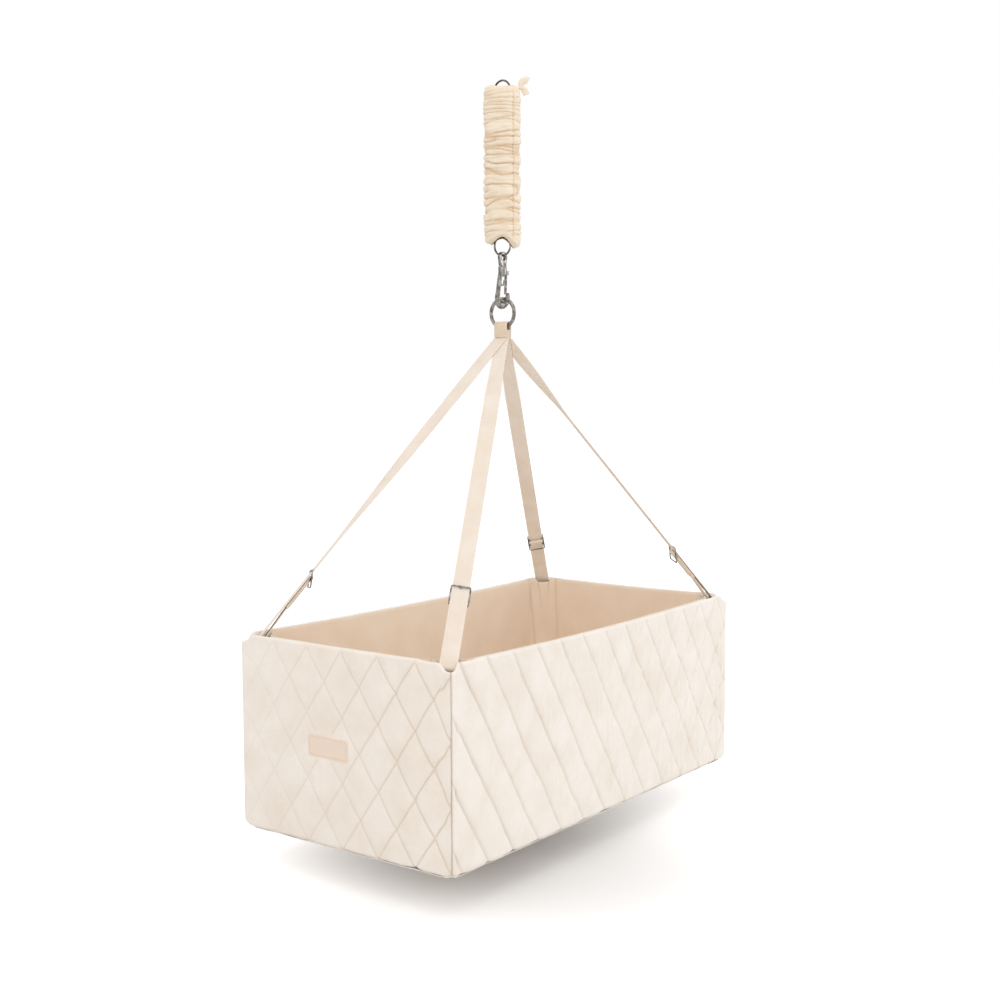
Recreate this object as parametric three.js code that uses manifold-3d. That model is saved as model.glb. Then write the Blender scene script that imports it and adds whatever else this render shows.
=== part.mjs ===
// A hanging baby cradle: a quilted cloth basket carried by four straps, a ring,
// a swivel snap hook and an extension spring in a gathered sleeve. Millimetres, +Z up.
// The origin is the inner crown of the spring's top loop, where the cradle hangs.
// X runs along the basket, Y across it. The label is on the -X end.

import * as THREE from 'three';
import { mergeVertices } from 'three/addons/utils/BufferGeometryUtils.js';
import Module from 'manifold-3d';

const wasm = await Module();
wasm.setup();

// Clearances shared by all pieces
const seat = 0.3;
const overrun = 5;

// Sides of a round, by how large it is
const wireSides = 8;
const holeSides = 12;
const roundSides = 24;
const ringSteps = 28;
const quarterSteps = 2;
const plateSteps = 8;
const eyeSteps = 10;
const labelSteps = 4;
const mergeGap = 1e-4;

// Basket
const basketLength = 775;
const basketWidth = 405;
const basketHeight = 297;
const panelThickness = 7;
const quiltRelief = 3.5;
const diamondsAlongSide = 11;
const diamondsAlongEnd = 6;
const diamondsDown = 3;
const cellsPerDiamond = 4;
const mattressRows = 8;
const seamSinkShare = 0.55;
const scoopDepth = 9;
const scoopReach = 25;
const liningScoop = 14;
const lipThickness = 2.4;
const coreThickness = 5;
const liningThickness = 3;
const bottomThickness = 3;
const boardThickness = 5;
const pocketDepth = 36;
const mattressThickness = 40;
const mattressClearance = 3;
const mattressCrown = 9;
const mattressDrawIn = 6;
const mattressChannels = 5;
const mattressChannelDepth = 2.5;

// Label patch
const labelWidth = 76;
const labelHeight = 31;
const labelThickness = 1.6;
const labelOffset = 26;
const labelDrop = 148;
const labelCorner = 3;
const labelSink = 0.8;

// Straps
const strapRise = 444;
const strapWidth = 25;
const strapThickness = 1.5;
const strapPitch = 2.2;
const strapStations = 14;
const strapEaseShare = 1.25;
const bendSteps = 4;
const anchorDrop = 8;
const anchorEndGap = 11.2;
const anchorSideGap = 13.2;
const sliderDistance = 129.5;
const sliderLength = 27;
const sliderMiddle = 12.2;
const sliderBar = 2.4;
const toothWidth = 6;
const toothDrop = 3.6;
const toothThickness = 1;
const foldLength = 58;
const strapEndDrop = 6;
const foldTaper = 10;
const foldSlack = 8;
const anchorBar = 5;
const anchorRingHeight = 14;
const anchorTuck = 80;
const boardCorner = 46;
const anchorTail = 22;

// Ring and tab
const ringOuter = 52.5;
const ringWire = 6.5;
const tabWidth = 25;
const tabThickness = 1.8;
const tabInnerHalf = 4.6;
const tabHeight = 25;

// Spring and sleeve
const springWire = 3.6;
const loopOuter = 35;
const coilOuter = 44;
const springTurns = 44;
const springPitch = 4.5;
const coilToLoop = 22;
const coilSteps = 8;
const coilSides = 5;
const loopSteps = 32;
const loopCurveSegments = 4;
const sleeveInner = 24;
const sleeveOuter = 30;
const sleeveMouthOuter = 25.5;
const sleeveTopRise = 5.5;
const sleeveBottomDrop = 3;
const sleeveLobe = 6;
const sleeveMouthShare = 0.06;
const sleeveFolds = 19;
const sleeveFoldDepth = 2.6;
const sleeveSides = 20;
const tieThickness = 1.2;
const tieKnot = 5;
const tieTurnShare = -0.147;

// Snap hook
const eyeHole = 10.4;
const eyeWire = 4;
const eyeThickness = 5;
const eyeShoulder = 6.5;
const eyeDrop = 14;
const shankDiameter = 5.4;
const headDiameter = 13.6;
const headHeight = 13;
const headGap = 0.5;
const rivetDiameter = 7;
const rivetHeight = 2.4;
const bearingClearance = 0.4;
const hookThickness = 9;
const hookDrop = 41;
const legTop = 6.2;
const legBottom = 13.5;
const spineWidth = 6.5;
const bendWidth = 13;
const noseWidth = 8;
const gateWidth = 4.4;
const gateThickness = 4.6;
const gateSlotWidth = 5.4;
const pinDiameter = 2.4;
const earWall = 1.6;
const springLeaf = 0.7;
const springLeafWidth = 3.6;
const springLeafSteps = 14;
const forgeThickShare = 1.25;
const hookSteps = 26;
const hookSides = 12;
const gateSteps = 14;
const gateSides = 10;

// Levels down the hanging line
const springWireHalf = springWire / 2;
const loopRadius = loopOuter / 2 - springWireHalf;
const sleeveMouth = loopOuter / 2 + seat;
const topLoopZ = -(loopRadius - springWireHalf);
const coilRadius = coilOuter / 2 - springWireHalf;
const coilTopZ = topLoopZ - coilToLoop;
const coilLength = springTurns * springPitch;
const coilBottomZ = coilTopZ - coilLength;
const bottomLoopZ = coilBottomZ - coilToLoop;
const loopWireZ = bottomLoopZ - loopRadius;
const eyeZ = loopWireZ + springWireHalf + seat + seat - eyeHole / 2;
const eyeBottomZ = eyeZ - eyeDrop;
const headTopZ = eyeBottomZ - headGap;
const headBottomZ = headTopZ - headHeight;
const crownZ = headBottomZ - hookDrop;
const ringWireHalf = ringWire / 2;
const ringRadius = ringOuter / 2 - ringWireHalf;
const ringZ = crownZ + seat + ringWireHalf - ringRadius;
const ringReach = ringRadius - ringWireHalf - seat;
const tabArcZ = ringZ - Math.sqrt(ringReach ** 2 - (tabWidth / 2) ** 2) - tabInnerHalf;
const tabBottomZ = tabArcZ + tabInnerHalf + tabThickness - tabHeight;
const rimZ = tabBottomZ - strapRise;

// Levels and depths in the basket, from its rim and its outer faces
const liningDepth = panelThickness + seat + coreThickness + seat;
const floorZ = -basketHeight + bottomThickness;
const webbingRoom = strapThickness + seat + seat;
const boardZ = floorZ + webbingRoom;
const liningFloorZ = boardZ + boardThickness + seat;
const bisectorShare = Math.SQRT1_2;
const pocketLeg = pocketDepth / bisectorShare + panelThickness;

const colours = {
  quilt: '#f3e9dd',
  lining: '#e3cfc0',
  strap: '#f0e6dd',
  tab: '#dcc9ae',
  sleeve: '#f4e6d2',
  steel: '#8f8c87',
  foam: '#efe9df',
  board: '#c7a77a',
  leather: '#e3c9b8',
};

const finish = (colour, roughness, metalness = 0) =>
  new THREE.MeshStandardMaterial({ color: colour, roughness, metalness });

const cradle = new THREE.Group();
const basket = new THREE.Group();
basket.position.z = rimZ;
cradle.add(basket);

function addPiece(group, name, geometry, colour, roughness, metalness) {
  const mesh = new THREE.Mesh(geometry, finish(colour, roughness, metalness));
  mesh.name = name;
  group.add(mesh);
  return mesh;
}

const steelPiece = (group, name, geometry) =>
  addPiece(group, name, geometry, colours.steel, 0.35, 0.9);

// A closed body from points and triangles, turned so that its faces point out
function closedBody(points, triangles) {
  let volume = 0;
  for (const [a, b, c] of triangles) {
    volume += points[a].dot(points[b].clone().cross(points[c]));
  }
  const index = triangles.flatMap(([a, b, c]) => (volume < 0 ? [a, c, b] : [a, b, c]));
  const geometry = new THREE.BufferGeometry().setFromPoints(points);
  geometry.setIndex(index);
  return geometry;
}

// Joins equal rings of points into a body, with flat ends or closed on itself
function loft(rings, closed = false) {
  const sides = rings[0].length;
  const points = rings.flat();
  const triangles = [];
  const spans = closed ? rings.length : rings.length - 1;
  for (let i = 0; i < spans; i++) {
    const here = i * sides;
    const next = ((i + 1) % rings.length) * sides;
    for (let j = 0; j < sides; j++) {
      const k = (j + 1) % sides;
      triangles.push([here + j, here + k, next + k], [here + j, next + k, next + j]);
    }
  }
  if (!closed) {
    const last = (rings.length - 1) * sides;
    for (let j = 1; j < sides - 1; j++) {
      triangles.push([0, j + 1, j], [last, last + j, last + j + 1]);
    }
  }
  return closedBody(points, triangles);
}

// Points of a circle about a centre, in the plane of two unit vectors
function circle(centre, across, up, radius, sides) {
  return Array.from({ length: sides }, (_, j) => {
    const angle = (2 * Math.PI * j) / sides;
    return centre
      .clone()
      .addScaledVector(across, radius * Math.cos(angle))
      .addScaledVector(up, radius * Math.sin(angle));
  });
}

// A round bar bent to a closed path that lies in the plane of two unit vectors
function closedBar(path, normal, radius, sides) {
  const rings = path.map((point, i) => {
    const before = path[(i + path.length - 1) % path.length];
    const after = path[(i + 1) % path.length];
    const along = after.clone().sub(before).normalize();
    const across = along.clone().cross(normal).normalize();
    return circle(point, across, normal, radius, sides);
  });
  return loft(rings, true);
}

function toManifold(geometry) {
  const bare = geometry.clone();
  bare.deleteAttribute('normal');
  bare.deleteAttribute('uv');
  const merged = mergeVertices(bare, mergeGap);
  return new wasm.Manifold(
    new wasm.Mesh({
      numProp: 3,
      vertProperties: new Float32Array(merged.attributes.position.array),
      triVerts: new Uint32Array(merged.index.array),
    })
  );
}

function fromManifold(manifold) {
  const mesh = manifold.getMesh();
  const geometry = new THREE.BufferGeometry();
  geometry.setAttribute('position', new THREE.BufferAttribute(mesh.vertProperties, 3));
  geometry.setIndex(new THREE.BufferAttribute(mesh.triVerts, 1));
  return geometry;
}

function placedBox(sizeX, sizeY, sizeZ, x, y, z) {
  return new THREE.BoxGeometry(sizeX, sizeY, sizeZ).translate(x, y, z);
}

// An outline drawn in X and Z, given a thickness in Y about the middle plane
function plateXZ(shape, thickness, curveSegments = plateSteps) {
  const options = { depth: thickness, bevelEnabled: false, curveSegments };
  const geometry = new THREE.ExtrudeGeometry(shape, options);
  return geometry.translate(0, 0, -thickness / 2).rotateX(Math.PI / 2);
}

// A flat ribbon: stations hold a centre, a width direction and a face direction
function ribbon(stations, width, thickness) {
  const rings = stations.map(({ centre, across, face }) => {
    const corners = [[-1, -1], [1, -1], [1, 1], [-1, 1]];
    return corners.map(([a, f]) =>
      centre
        .clone()
        .addScaledVector(across, (a * width) / 2)
        .addScaledVector(face, (f * thickness) / 2)
    );
  });
  return loft(rings);
}

// Stations for a ribbon that keeps its width direction along a path
function pathStations(path, across) {
  return path.map((centre, i) => {
    const before = path[Math.max(i - 1, 0)];
    const after = path[Math.min(i + 1, path.length - 1)];
    const along = after.clone().sub(before).normalize();
    return { centre, across, face: along.clone().cross(across).normalize() };
  });
}

// Quilted outer walls

// Height of the quilting, 0 in a stitched channel and 1 on a diamond's crown
function quiltHeight(alongShare, downShare) {
  const a = Math.sin(Math.PI * (alongShare + downShare));
  const b = Math.sin(Math.PI * (alongShare - downShare));
  return Math.sqrt(Math.abs(a * b));
}

// How far the rim dips at a distance from the corner, for the strap to pass
function rimDip(distance) {
  const share = Math.min(distance / scoopReach, 1);
  return (scoopDepth * (1 + Math.cos(Math.PI * share))) / 2;
}

// One wall with its outer face towards -Y, the rim at z = 0 and mitred ends
function quiltedPanel(length, width, diamonds) {
  const columns = diamonds * cellsPerDiamond;
  const rows = diamondsDown * cellsPerDiamond;
  const bottom = floorZ + seat;
  const points = [];
  const mitre = (depth) => length / 2 - depth - seat;
  for (let j = 0; j <= rows; j++) {
    for (let i = 0; i <= columns; i++) {
      const atEnd = i === 0 || i === columns;
      const atEdge = j === 0 || j === rows;
      const height = quiltHeight(i / cellsPerDiamond, j / cellsPerDiamond);
      let depth = quiltRelief * (1 - height);
      if (atEnd || atEdge) depth = quiltRelief * seamSinkShare;
      const reach = mitre(depth);
      const along = -reach + (reach + reach) * (i / columns);
      const top = -rimDip(length / 2 - Math.abs(along));
      const up = bottom + (top - bottom) * (1 - j / rows);
      points.push(new THREE.Vector3(along, -width / 2 + depth, up));
    }
  }
  const at = (i, j) => j * (columns + 1) + i;
  const triangles = [];
  for (let j = 0; j < rows; j++) {
    for (let i = 0; i < columns; i++) {
      const corners = [at(i, j), at(i + 1, j), at(i + 1, j + 1), at(i, j + 1)];
      const fallsRight = (i - j) % cellsPerDiamond === 0;
      if (fallsRight) {
        triangles.push([corners[0], corners[1], corners[2]], [corners[0], corners[2], corners[3]]);
      } else {
        triangles.push([corners[0], corners[1], corners[3]], [corners[1], corners[2], corners[3]]);
      }
    }
  }
  const border = borderLoop(columns, rows, at);
  const shrink = mitre(panelThickness) / mitre(quiltRelief * seamSinkShare);
  const back = border.map((k) => {
    points.push(new THREE.Vector3(points[k].x * shrink, -width / 2 + panelThickness, points[k].z));
    return points.length - 1;
  });
  sewRings(triangles, border, back);
  capRing(points, triangles, back, 'x', 'z');
  return orientFaces(points, triangles);
}

// The border of a grid, walked once round
function borderLoop(columns, rows, at) {
  const border = [];
  for (let i = 0; i < columns; i++) border.push(at(i, 0));
  for (let j = 0; j < rows; j++) border.push(at(columns, j));
  for (let i = columns; i > 0; i--) border.push(at(i, rows));
  for (let j = rows; j > 0; j--) border.push(at(0, j));
  return border;
}

function sewRings(triangles, first, second) {
  for (let k = 0; k < first.length; k++) {
    const n = (k + 1) % first.length;
    triangles.push([first[k], second[k], second[n]], [first[k], second[n], first[n]]);
  }
}

function capRing(points, triangles, ring, axisA, axisB) {
  const outline = ring.map((k) => new THREE.Vector2(points[k][axisA], points[k][axisB]));
  for (const [a, b, c] of THREE.ShapeUtils.triangulateShape(outline, [])) {
    triangles.push([ring[a], ring[b], ring[c]]);
  }
}

// Turns single faces so that neighbours agree, for a body joined from sheets
function orientFaces(points, triangles) {
  const edges = new Map();
  const key = (a, b) => Math.min(a, b) * points.length + Math.max(a, b);
  triangles.forEach((triangle, t) => {
    for (let e = 0; e < 3; e++) {
      const k = key(triangle[e], triangle[(e + 1) % 3]);
      edges.set(k, [...(edges.get(k) ?? []), t]);
    }
  });
  const done = new Set([0]);
  const queue = [0];
  const runs = (triangle, a, b) =>
    [0, 1, 2].some((e) => triangle[e] === a && triangle[(e + 1) % 3] === b);
  while (queue.length) {
    const t = queue.pop();
    for (let e = 0; e < 3; e++) {
      const a = triangles[t][e];
      const b = triangles[t][(e + 1) % 3];
      for (const other of edges.get(key(a, b))) {
        if (done.has(other)) continue;
        if (runs(triangles[other], a, b)) triangles[other].reverse();
        done.add(other);
        queue.push(other);
      }
    }
  }
  return closedBody(points, triangles);
}

// The turned-in lip that covers the wall's core, short of the strap pockets
function rimLip(length, width) {
  const lipDepth = coreThickness + seat + overrun;
  const inner = -width / 2 + panelThickness + coreThickness + seat;
  return placedBox(
    length - pocketLeg - pocketLeg,
    lipDepth,
    lipThickness,
    0,
    inner - lipDepth / 2,
    -lipThickness / 2
  );
}

function outerPanel(length, width, diamonds) {
  const panel = toManifold(quiltedPanel(length, width, diamonds));
  const lip = toManifold(rimLip(length, width));
  const frontRoom = toManifold(
    placedBox(
      length,
      panelThickness,
      lipThickness + overrun,
      0,
      -width / 2 + panelThickness / 2 - seat,
      -lipThickness / 2
    )
  );
  return fromManifold(panel.add(lip.subtract(frontRoom)));
}

// The label's plate on the wall that faces -Y before it is turned, or its sunk seat
function labelPlate(width, growth, front) {
  const halfWide = labelWidth / 2 + growth;
  const halfHigh = labelHeight / 2 + growth;
  const radius = labelCorner + growth;
  const shape = new THREE.Shape();
  shape.moveTo(-halfWide + radius, -halfHigh);
  shape.absarc(halfWide - radius, -halfHigh + radius, radius, -Math.PI / 2, 0, false);
  shape.absarc(halfWide - radius, halfHigh - radius, radius, 0, Math.PI / 2, false);
  shape.absarc(-halfWide + radius, halfHigh - radius, radius, Math.PI / 2, Math.PI, false);
  shape.absarc(-halfWide + radius, -halfHigh + radius, radius, Math.PI, Math.PI * 1.5, false);
  const depth = labelThickness + growth + front;
  const options = { depth, bevelEnabled: false, curveSegments: labelSteps };
  const plate = new THREE.ExtrudeGeometry(shape, options);
  const backY = -width / 2 + labelSink + labelThickness + growth;
  return plate.rotateX(Math.PI / 2).translate(-labelOffset, backY, -labelDrop);
}

const walls = [
  ['front', basketLength, basketWidth, diamondsAlongSide, 0],
  ['right', basketWidth, basketLength, diamondsAlongEnd, 1],
  ['back', basketLength, basketWidth, diamondsAlongSide, 2],
  ['left', basketWidth, basketLength, diamondsAlongEnd, 3],
];

for (const [side, length, width, diamonds, turns] of walls) {
  const turned = new THREE.Group();
  turned.rotation.z = (turns * Math.PI) / 2;
  basket.add(turned);
  let panel = outerPanel(length, width, diamonds);
  if (side === 'left') {
    panel = fromManifold(toManifold(panel).subtract(toManifold(labelPlate(width, seat, overrun))));
    addPiece(turned, 'label_patch', labelPlate(width, 0, 0), colours.leather, 0.7);
  }
  addPiece(turned, `outer_panel_${side}`, panel, colours.quilt, 0.95);

  const coreLength = length - pocketLeg - pocketLeg;
  const coreBottom = boardZ + boardThickness + seat;
  const coreTop = -lipThickness - seat;
  const core = placedBox(
    coreLength,
    coreThickness,
    coreTop - coreBottom,
    0,
    -width / 2 + panelThickness + seat + coreThickness / 2,
    (coreTop + coreBottom) / 2
  );
  addPiece(turned, `wall_core_${side}`, core, colours.foam, 1);
}

// The plan of a rectangle with its corners cut off at 45 degrees
function cutRectangle(halfLength, halfWidth, leg) {
  const quarter = [
    [halfLength, halfWidth - leg],
    [halfLength - leg, halfWidth],
  ];
  const points = [
    ...quarter,
    ...quarter.map(([x, y]) => [-x, y]).reverse(),
    ...quarter.map(([x, y]) => [-x, -y]),
    ...quarter.map(([x, y]) => [x, -y]).reverse(),
  ];
  return points.map(([x, y]) => new THREE.Vector2(x, y));
}

function prism(outline, bottom, height) {
  const shape = new THREE.Shape(outline);
  return new THREE.ExtrudeGeometry(shape, { depth: height, bevelEnabled: false }).translate(
    0,
    0,
    bottom
  );
}

const bottomPanel = prism(
  cutRectangle(basketLength / 2, basketWidth / 2, panelThickness / 2),
  -basketHeight,
  bottomThickness
);
addPiece(basket, 'bottom_panel', bottomPanel, colours.quilt, 0.95);

const boardInset = panelThickness + seat;
const board = prism(
  cutRectangle(basketLength / 2 - boardInset, basketWidth / 2 - boardInset, boardCorner),
  boardZ,
  boardThickness
);
addPiece(basket, 'base_board', board, colours.board, 0.7);

// The lining is one sewn tub, its corners bridged across the strap pockets
const liningHalfLength = basketLength / 2 - liningDepth;
const liningHalfWidth = basketWidth / 2 - liningDepth;
const liningLeg = pocketDepth / bisectorShare - (liningDepth - panelThickness) * 2;

// Each corner's side in X and in Y, and its strap's place in the stack, in half pitches
const corners = [
  ['front_left', -1, -1, -1],
  ['back_left', -1, 1, -3],
  ['back_right', 1, 1, 1],
  ['front_right', 1, -1, 3],
];

// The part of the lining's plan that lies a wall further in
function liningPlan(inset) {
  const legLoss = inset * (2 - Math.SQRT2);
  return cutRectangle(liningHalfLength - inset, liningHalfWidth - inset, liningLeg - legLoss);
}

function liningTub() {
  const outer = prism(liningPlan(0), liningFloorZ, -liningFloorZ);
  const hollow = prism(
    liningPlan(liningThickness),
    liningFloorZ + liningThickness,
    -liningFloorZ + overrun
  );
  let tub = toManifold(outer).subtract(toManifold(hollow));
  for (const [, x, y] of corners) {
    const dip = new THREE.CylinderGeometry(1, 1, pocketDepth, roundSides)
      .scale(strapWidth / 2 + liningScoop, 1, liningScoop)
      .rotateZ(Math.atan2(-x, y))
      .translate(x * (liningHalfLength - liningLeg / 2), y * (liningHalfWidth - liningLeg / 2), 0);
    tub = tub.subtract(toManifold(dip));
  }
  return fromManifold(tub);
}

addPiece(basket, 'inner_lining', liningTub(), colours.lining, 0.95);

// Mattress: crowned, with drawn-in sides and stitched channels across it
function mattressBody() {
  const halfLength = liningHalfLength - liningThickness - mattressClearance;
  const halfWidth = liningHalfWidth - liningThickness - mattressClearance;
  const bottom = liningFloorZ + liningThickness + seat;
  const columns = (mattressChannels + 1) * cellsPerDiamond;
  const rows = mattressRows;
  // A unit square's point, pulled in at its corners and, by a share, at its sides
  const planPoint = (a, b, pullShare) => {
    const drawn = mattressDrawIn * pullShare;
    const x = a * (halfLength - drawn * (1 - b * b));
    const y = b * (halfWidth - drawn * (1 - a * a));
    const over = Math.abs(x) + Math.abs(y) - (halfLength + halfWidth - liningLeg);
    const trim = Math.max(over, 0) / 2;
    return [x - Math.sign(x) * trim, y - Math.sign(y) * trim];
  };
  const points = [];
  for (let j = 0; j <= rows; j++) {
    for (let i = 0; i <= columns; i++) {
      const a = (2 * i) / columns - 1;
      const b = (2 * j) / rows - 1;
      const [x, y] = planPoint(a, b, 1);
      const crown = mattressCrown * (1 - a ** 4) * (1 - b ** 4);
      const inner = i > 0 && i < columns;
      const channel = inner && i % cellsPerDiamond === 0 ? mattressChannelDepth : 0;
      const edgeZ = bottom + mattressThickness - mattressCrown;
      points.push(new THREE.Vector3(x, y, edgeZ + crown - channel));
    }
  }
  const at = (i, j) => j * (columns + 1) + i;
  const triangles = [];
  for (let j = 0; j < rows; j++) {
    for (let i = 0; i < columns; i++) {
      triangles.push([at(i, j), at(i + 1, j), at(i + 1, j + 1)]);
      triangles.push([at(i, j), at(i + 1, j + 1), at(i, j + 1)]);
    }
  }
  const border = borderLoop(columns, rows, at);
  const middleZ = bottom + (mattressThickness - mattressCrown) / 2;
  const addRing = (pullShare, z) =>
    border.map((k) => {
      const a = (2 * (k % (columns + 1))) / columns - 1;
      const b = (2 * Math.floor(k / (columns + 1))) / rows - 1;
      const [x, y] = planPoint(a, b, pullShare);
      points.push(new THREE.Vector3(x, y, z));
      return points.length - 1;
    });
  const middle = addRing(0, middleZ);
  const base = addRing(1, bottom);
  sewRings(triangles, border, middle);
  sewRings(triangles, middle, base);
  capRing(points, triangles, base, 'x', 'y');
  return orientFaces(points, triangles);
}

addPiece(basket, 'mattress', mattressBody(), colours.quilt, 0.95);

// Straps: each runs from the ring tab to a buried anchor ring and back to its slider

// Where each strap's twist starts and where it ends, as shares of its length
const twistShares = {
  front_left: [0.07, 0.35],
  back_left: [0.1, 0.72],
  back_right: [0.07, 0.35],
  front_right: [0.07, 0.3],
};

const up = new THREE.Vector3(0, 0, 1);
const acrossY = new THREE.Vector3(0, 1, 0);
const strapHalf = strapThickness / 2;
const barHalf = sliderBar / 2;
const anchorBarHalf = anchorBar / 2;
const anchorWrap = anchorBarHalf + seat + strapHalf;
const foldWrap = barHalf + seat + strapHalf;
const foldClosed = strapThickness + seat;
const innerFace = -(anchorWrap + anchorWrap);

// The slider leans so that its middle bar, in the strap's fold, lies just behind the strap
const upperBarFace = strapHalf + seat + barHalf;
const middleBarFace = -(strapThickness + seat + foldWrap);
const sliderLean = Math.asin((upperBarFace - middleBarFace) / sliderMiddle);
const middleBarDistance = sliderDistance - sliderMiddle * Math.cos(sliderLean);

const squared = (vector, along) =>
  vector.clone().addScaledVector(along, -vector.dot(along)).normalize();

// Width direction of a strap, turned from across the basket to across its corner
function strapAcross(x, y, share, along) {
  const angle = (Math.PI / 4) * share;
  return squared(new THREE.Vector3(-x * y * Math.sin(angle), Math.cos(angle), 0), along);
}

// Where a strap leaves the tab, where it ends and its three directions at the corner
function strapFrame(x, y, stack) {
  const exit = new THREE.Vector3((stack * strapPitch) / 2, 0, tabBottomZ - seat);
  const corner = new THREE.Vector3(
    x * (basketLength / 2 - panelThickness - anchorEndGap),
    y * (basketWidth / 2 - panelThickness - anchorSideGap),
    rimZ - anchorDrop
  );
  const along = corner.clone().sub(exit).normalize();
  const across = strapAcross(x, y, 1, along);
  const face = across.clone().cross(along).multiplyScalar(-x);
  const place = (distance, height) =>
    corner.clone().addScaledVector(along, -distance).addScaledVector(face, height);
  return { exit, corner, along, across, face, place };
}

function strapBody([name, x, y, stack]) {
  const [twistStartShare, twistEndShare] = twistShares[name];
  const { exit, corner, along, across, face, place } = strapFrame(x, y, stack);
  const stations = [];
  const add = (centre, widthWay, way) =>
    stations.push({ centre, across: widthWay, face: way.clone().cross(widthWay).normalize() });
  const tabTop = exit.clone();
  tabTop.z = ringZ - ringRadius - ringWireHalf - strapHalf;
  const down = up.clone().negate();
  add(tabTop, acrossY, down);
  add(exit, acrossY, down.clone().add(along).normalize());
  const run = exit.distanceTo(corner);
  for (let i = 1; i <= strapStations; i++) {
    const share = (i / strapStations) ** strapEaseShare;
    const twist = THREE.MathUtils.smoothstep(share, twistStartShare, twistEndShare);
    const centre = exit.clone().addScaledVector(along, run * share);
    add(centre, strapAcross(x, y, twist, along), along);
  }
  for (let i = 1; i < bendSteps; i++) {
    const angle = (Math.PI * i) / bendSteps;
    const way = along
      .clone()
      .multiplyScalar(Math.cos(angle))
      .addScaledVector(face, -Math.sin(angle));
    const centre = place(0, -anchorWrap)
      .addScaledVector(face, anchorWrap * Math.cos(angle))
      .addScaledVector(along, anchorWrap * Math.sin(angle));
    add(centre, across, way);
  }
  const back = along.clone().negate();
  add(place(0, innerFace), across, back);
  add(place(middleBarDistance - foldLength - foldSlack, middleBarFace), across, back);
  add(place(middleBarDistance - strapEndDrop, middleBarFace), across, back);
  return ribbon(stations, strapWidth, strapThickness);
}

// The sewn end of the strap, folded over the slider's middle bar
function strapEndBody([, x, y, stack]) {
  const { across, place } = strapFrame(x, y, stack);
  const at = (below, height) => place(middleBarDistance - below, middleBarFace + height);
  const path = [at(foldLength, foldClosed), at(foldTaper, foldClosed), at(0, foldWrap)];
  for (let i = 1; i < bendSteps; i++) {
    const angle = (Math.PI * i) / bendSteps;
    path.push(at(-foldWrap * Math.sin(angle), foldWrap * Math.cos(angle)));
  }
  path.push(at(0, -foldWrap), at(foldTaper, -foldClosed), at(foldLength, -foldClosed));
  return ribbon(pathStations(path, across), strapWidth, strapThickness);
}

// A rectangle with rounded corners about an origin, in the plane of two directions
function roundedPath(origin, wayA, wayB, halfA, halfB, radius) {
  const path = [];
  for (const [a, b, start] of [[1, 1, 0], [-1, 1, 1], [-1, -1, 2], [1, -1, 3]]) {
    for (let i = 0; i <= quarterSteps; i++) {
      const angle = (Math.PI / 2) * (start + i / quarterSteps);
      const along = a * (halfA - radius) + radius * Math.cos(angle);
      const beside = b * (halfB - radius) + radius * Math.sin(angle);
      path.push(origin.clone().addScaledVector(wayA, along).addScaledVector(wayB, beside));
    }
  }
  return path;
}

// The slider: a wire frame whose upper bar lies before the strap and whose other two
// bars lie behind it, with a tooth on the upper bar
function sliderBody([, x, y, stack]) {
  const { along, across, face, place } = strapFrame(x, y, stack);
  const upper = place(sliderDistance, upperBarFace);
  const fall = along
    .clone()
    .multiplyScalar(Math.cos(sliderLean))
    .addScaledVector(face, -Math.sin(sliderLean));
  const normal = across.clone().cross(fall).normalize();
  const middle = upper.clone().addScaledVector(fall, sliderLength / 2);
  const halfWide = strapWidth / 2 + seat + barHalf;
  const path = roundedPath(middle, across, fall, halfWide, sliderLength / 2, barHalf + seat);
  const frame = toManifold(closedBar(path, normal, barHalf, wireSides));
  const middleBar = [-halfWide, halfWide].map((reach) =>
    circle(
      upper.clone().addScaledVector(fall, sliderMiddle).addScaledVector(across, reach),
      fall,
      normal,
      barHalf,
      wireSides
    )
  );
  const tooth = [];
  for (const thick of [-toothThickness / 2, toothThickness / 2]) {
    tooth.push(
      [[-toothWidth / 2, 0], [toothWidth / 2, 0], [0, toothDrop + barHalf]].map(([a, b]) =>
        upper
          .clone()
          .addScaledVector(across, a)
          .addScaledVector(along, b)
          .addScaledVector(face, thick)
      )
    );
  }
  return fromManifold(frame.add(toManifold(loft(middleBar))).add(toManifold(loft(tooth))));
}

// The buried ring that joins a strap to the webbing sewn down its corner
function anchorFrame([, x, y, stack]) {
  const { across, place } = strapFrame(x, y, stack);
  const hang = squared(up.clone().negate(), across);
  const upper = place(0, -anchorWrap);
  const lower = upper.clone().addScaledVector(hang, anchorRingHeight);
  let inward = hang.clone().cross(across).normalize();
  if (inward.x * x > 0) inward = inward.negate();
  return { across, hang, upper, lower, inward };
}

function anchorRingBody(corner) {
  const { across, hang, upper, lower, inward } = anchorFrame(corner);
  const middle = upper.clone().add(lower).multiplyScalar(1 / 2);
  const bendRadius = anchorBarHalf + seat;
  const halfWide = strapWidth / 2 + bendRadius;
  const path = roundedPath(middle, across, hang, halfWide, anchorRingHeight / 2, bendRadius);
  return closedBar(path, inward, anchorBarHalf, wireSides);
}

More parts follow.
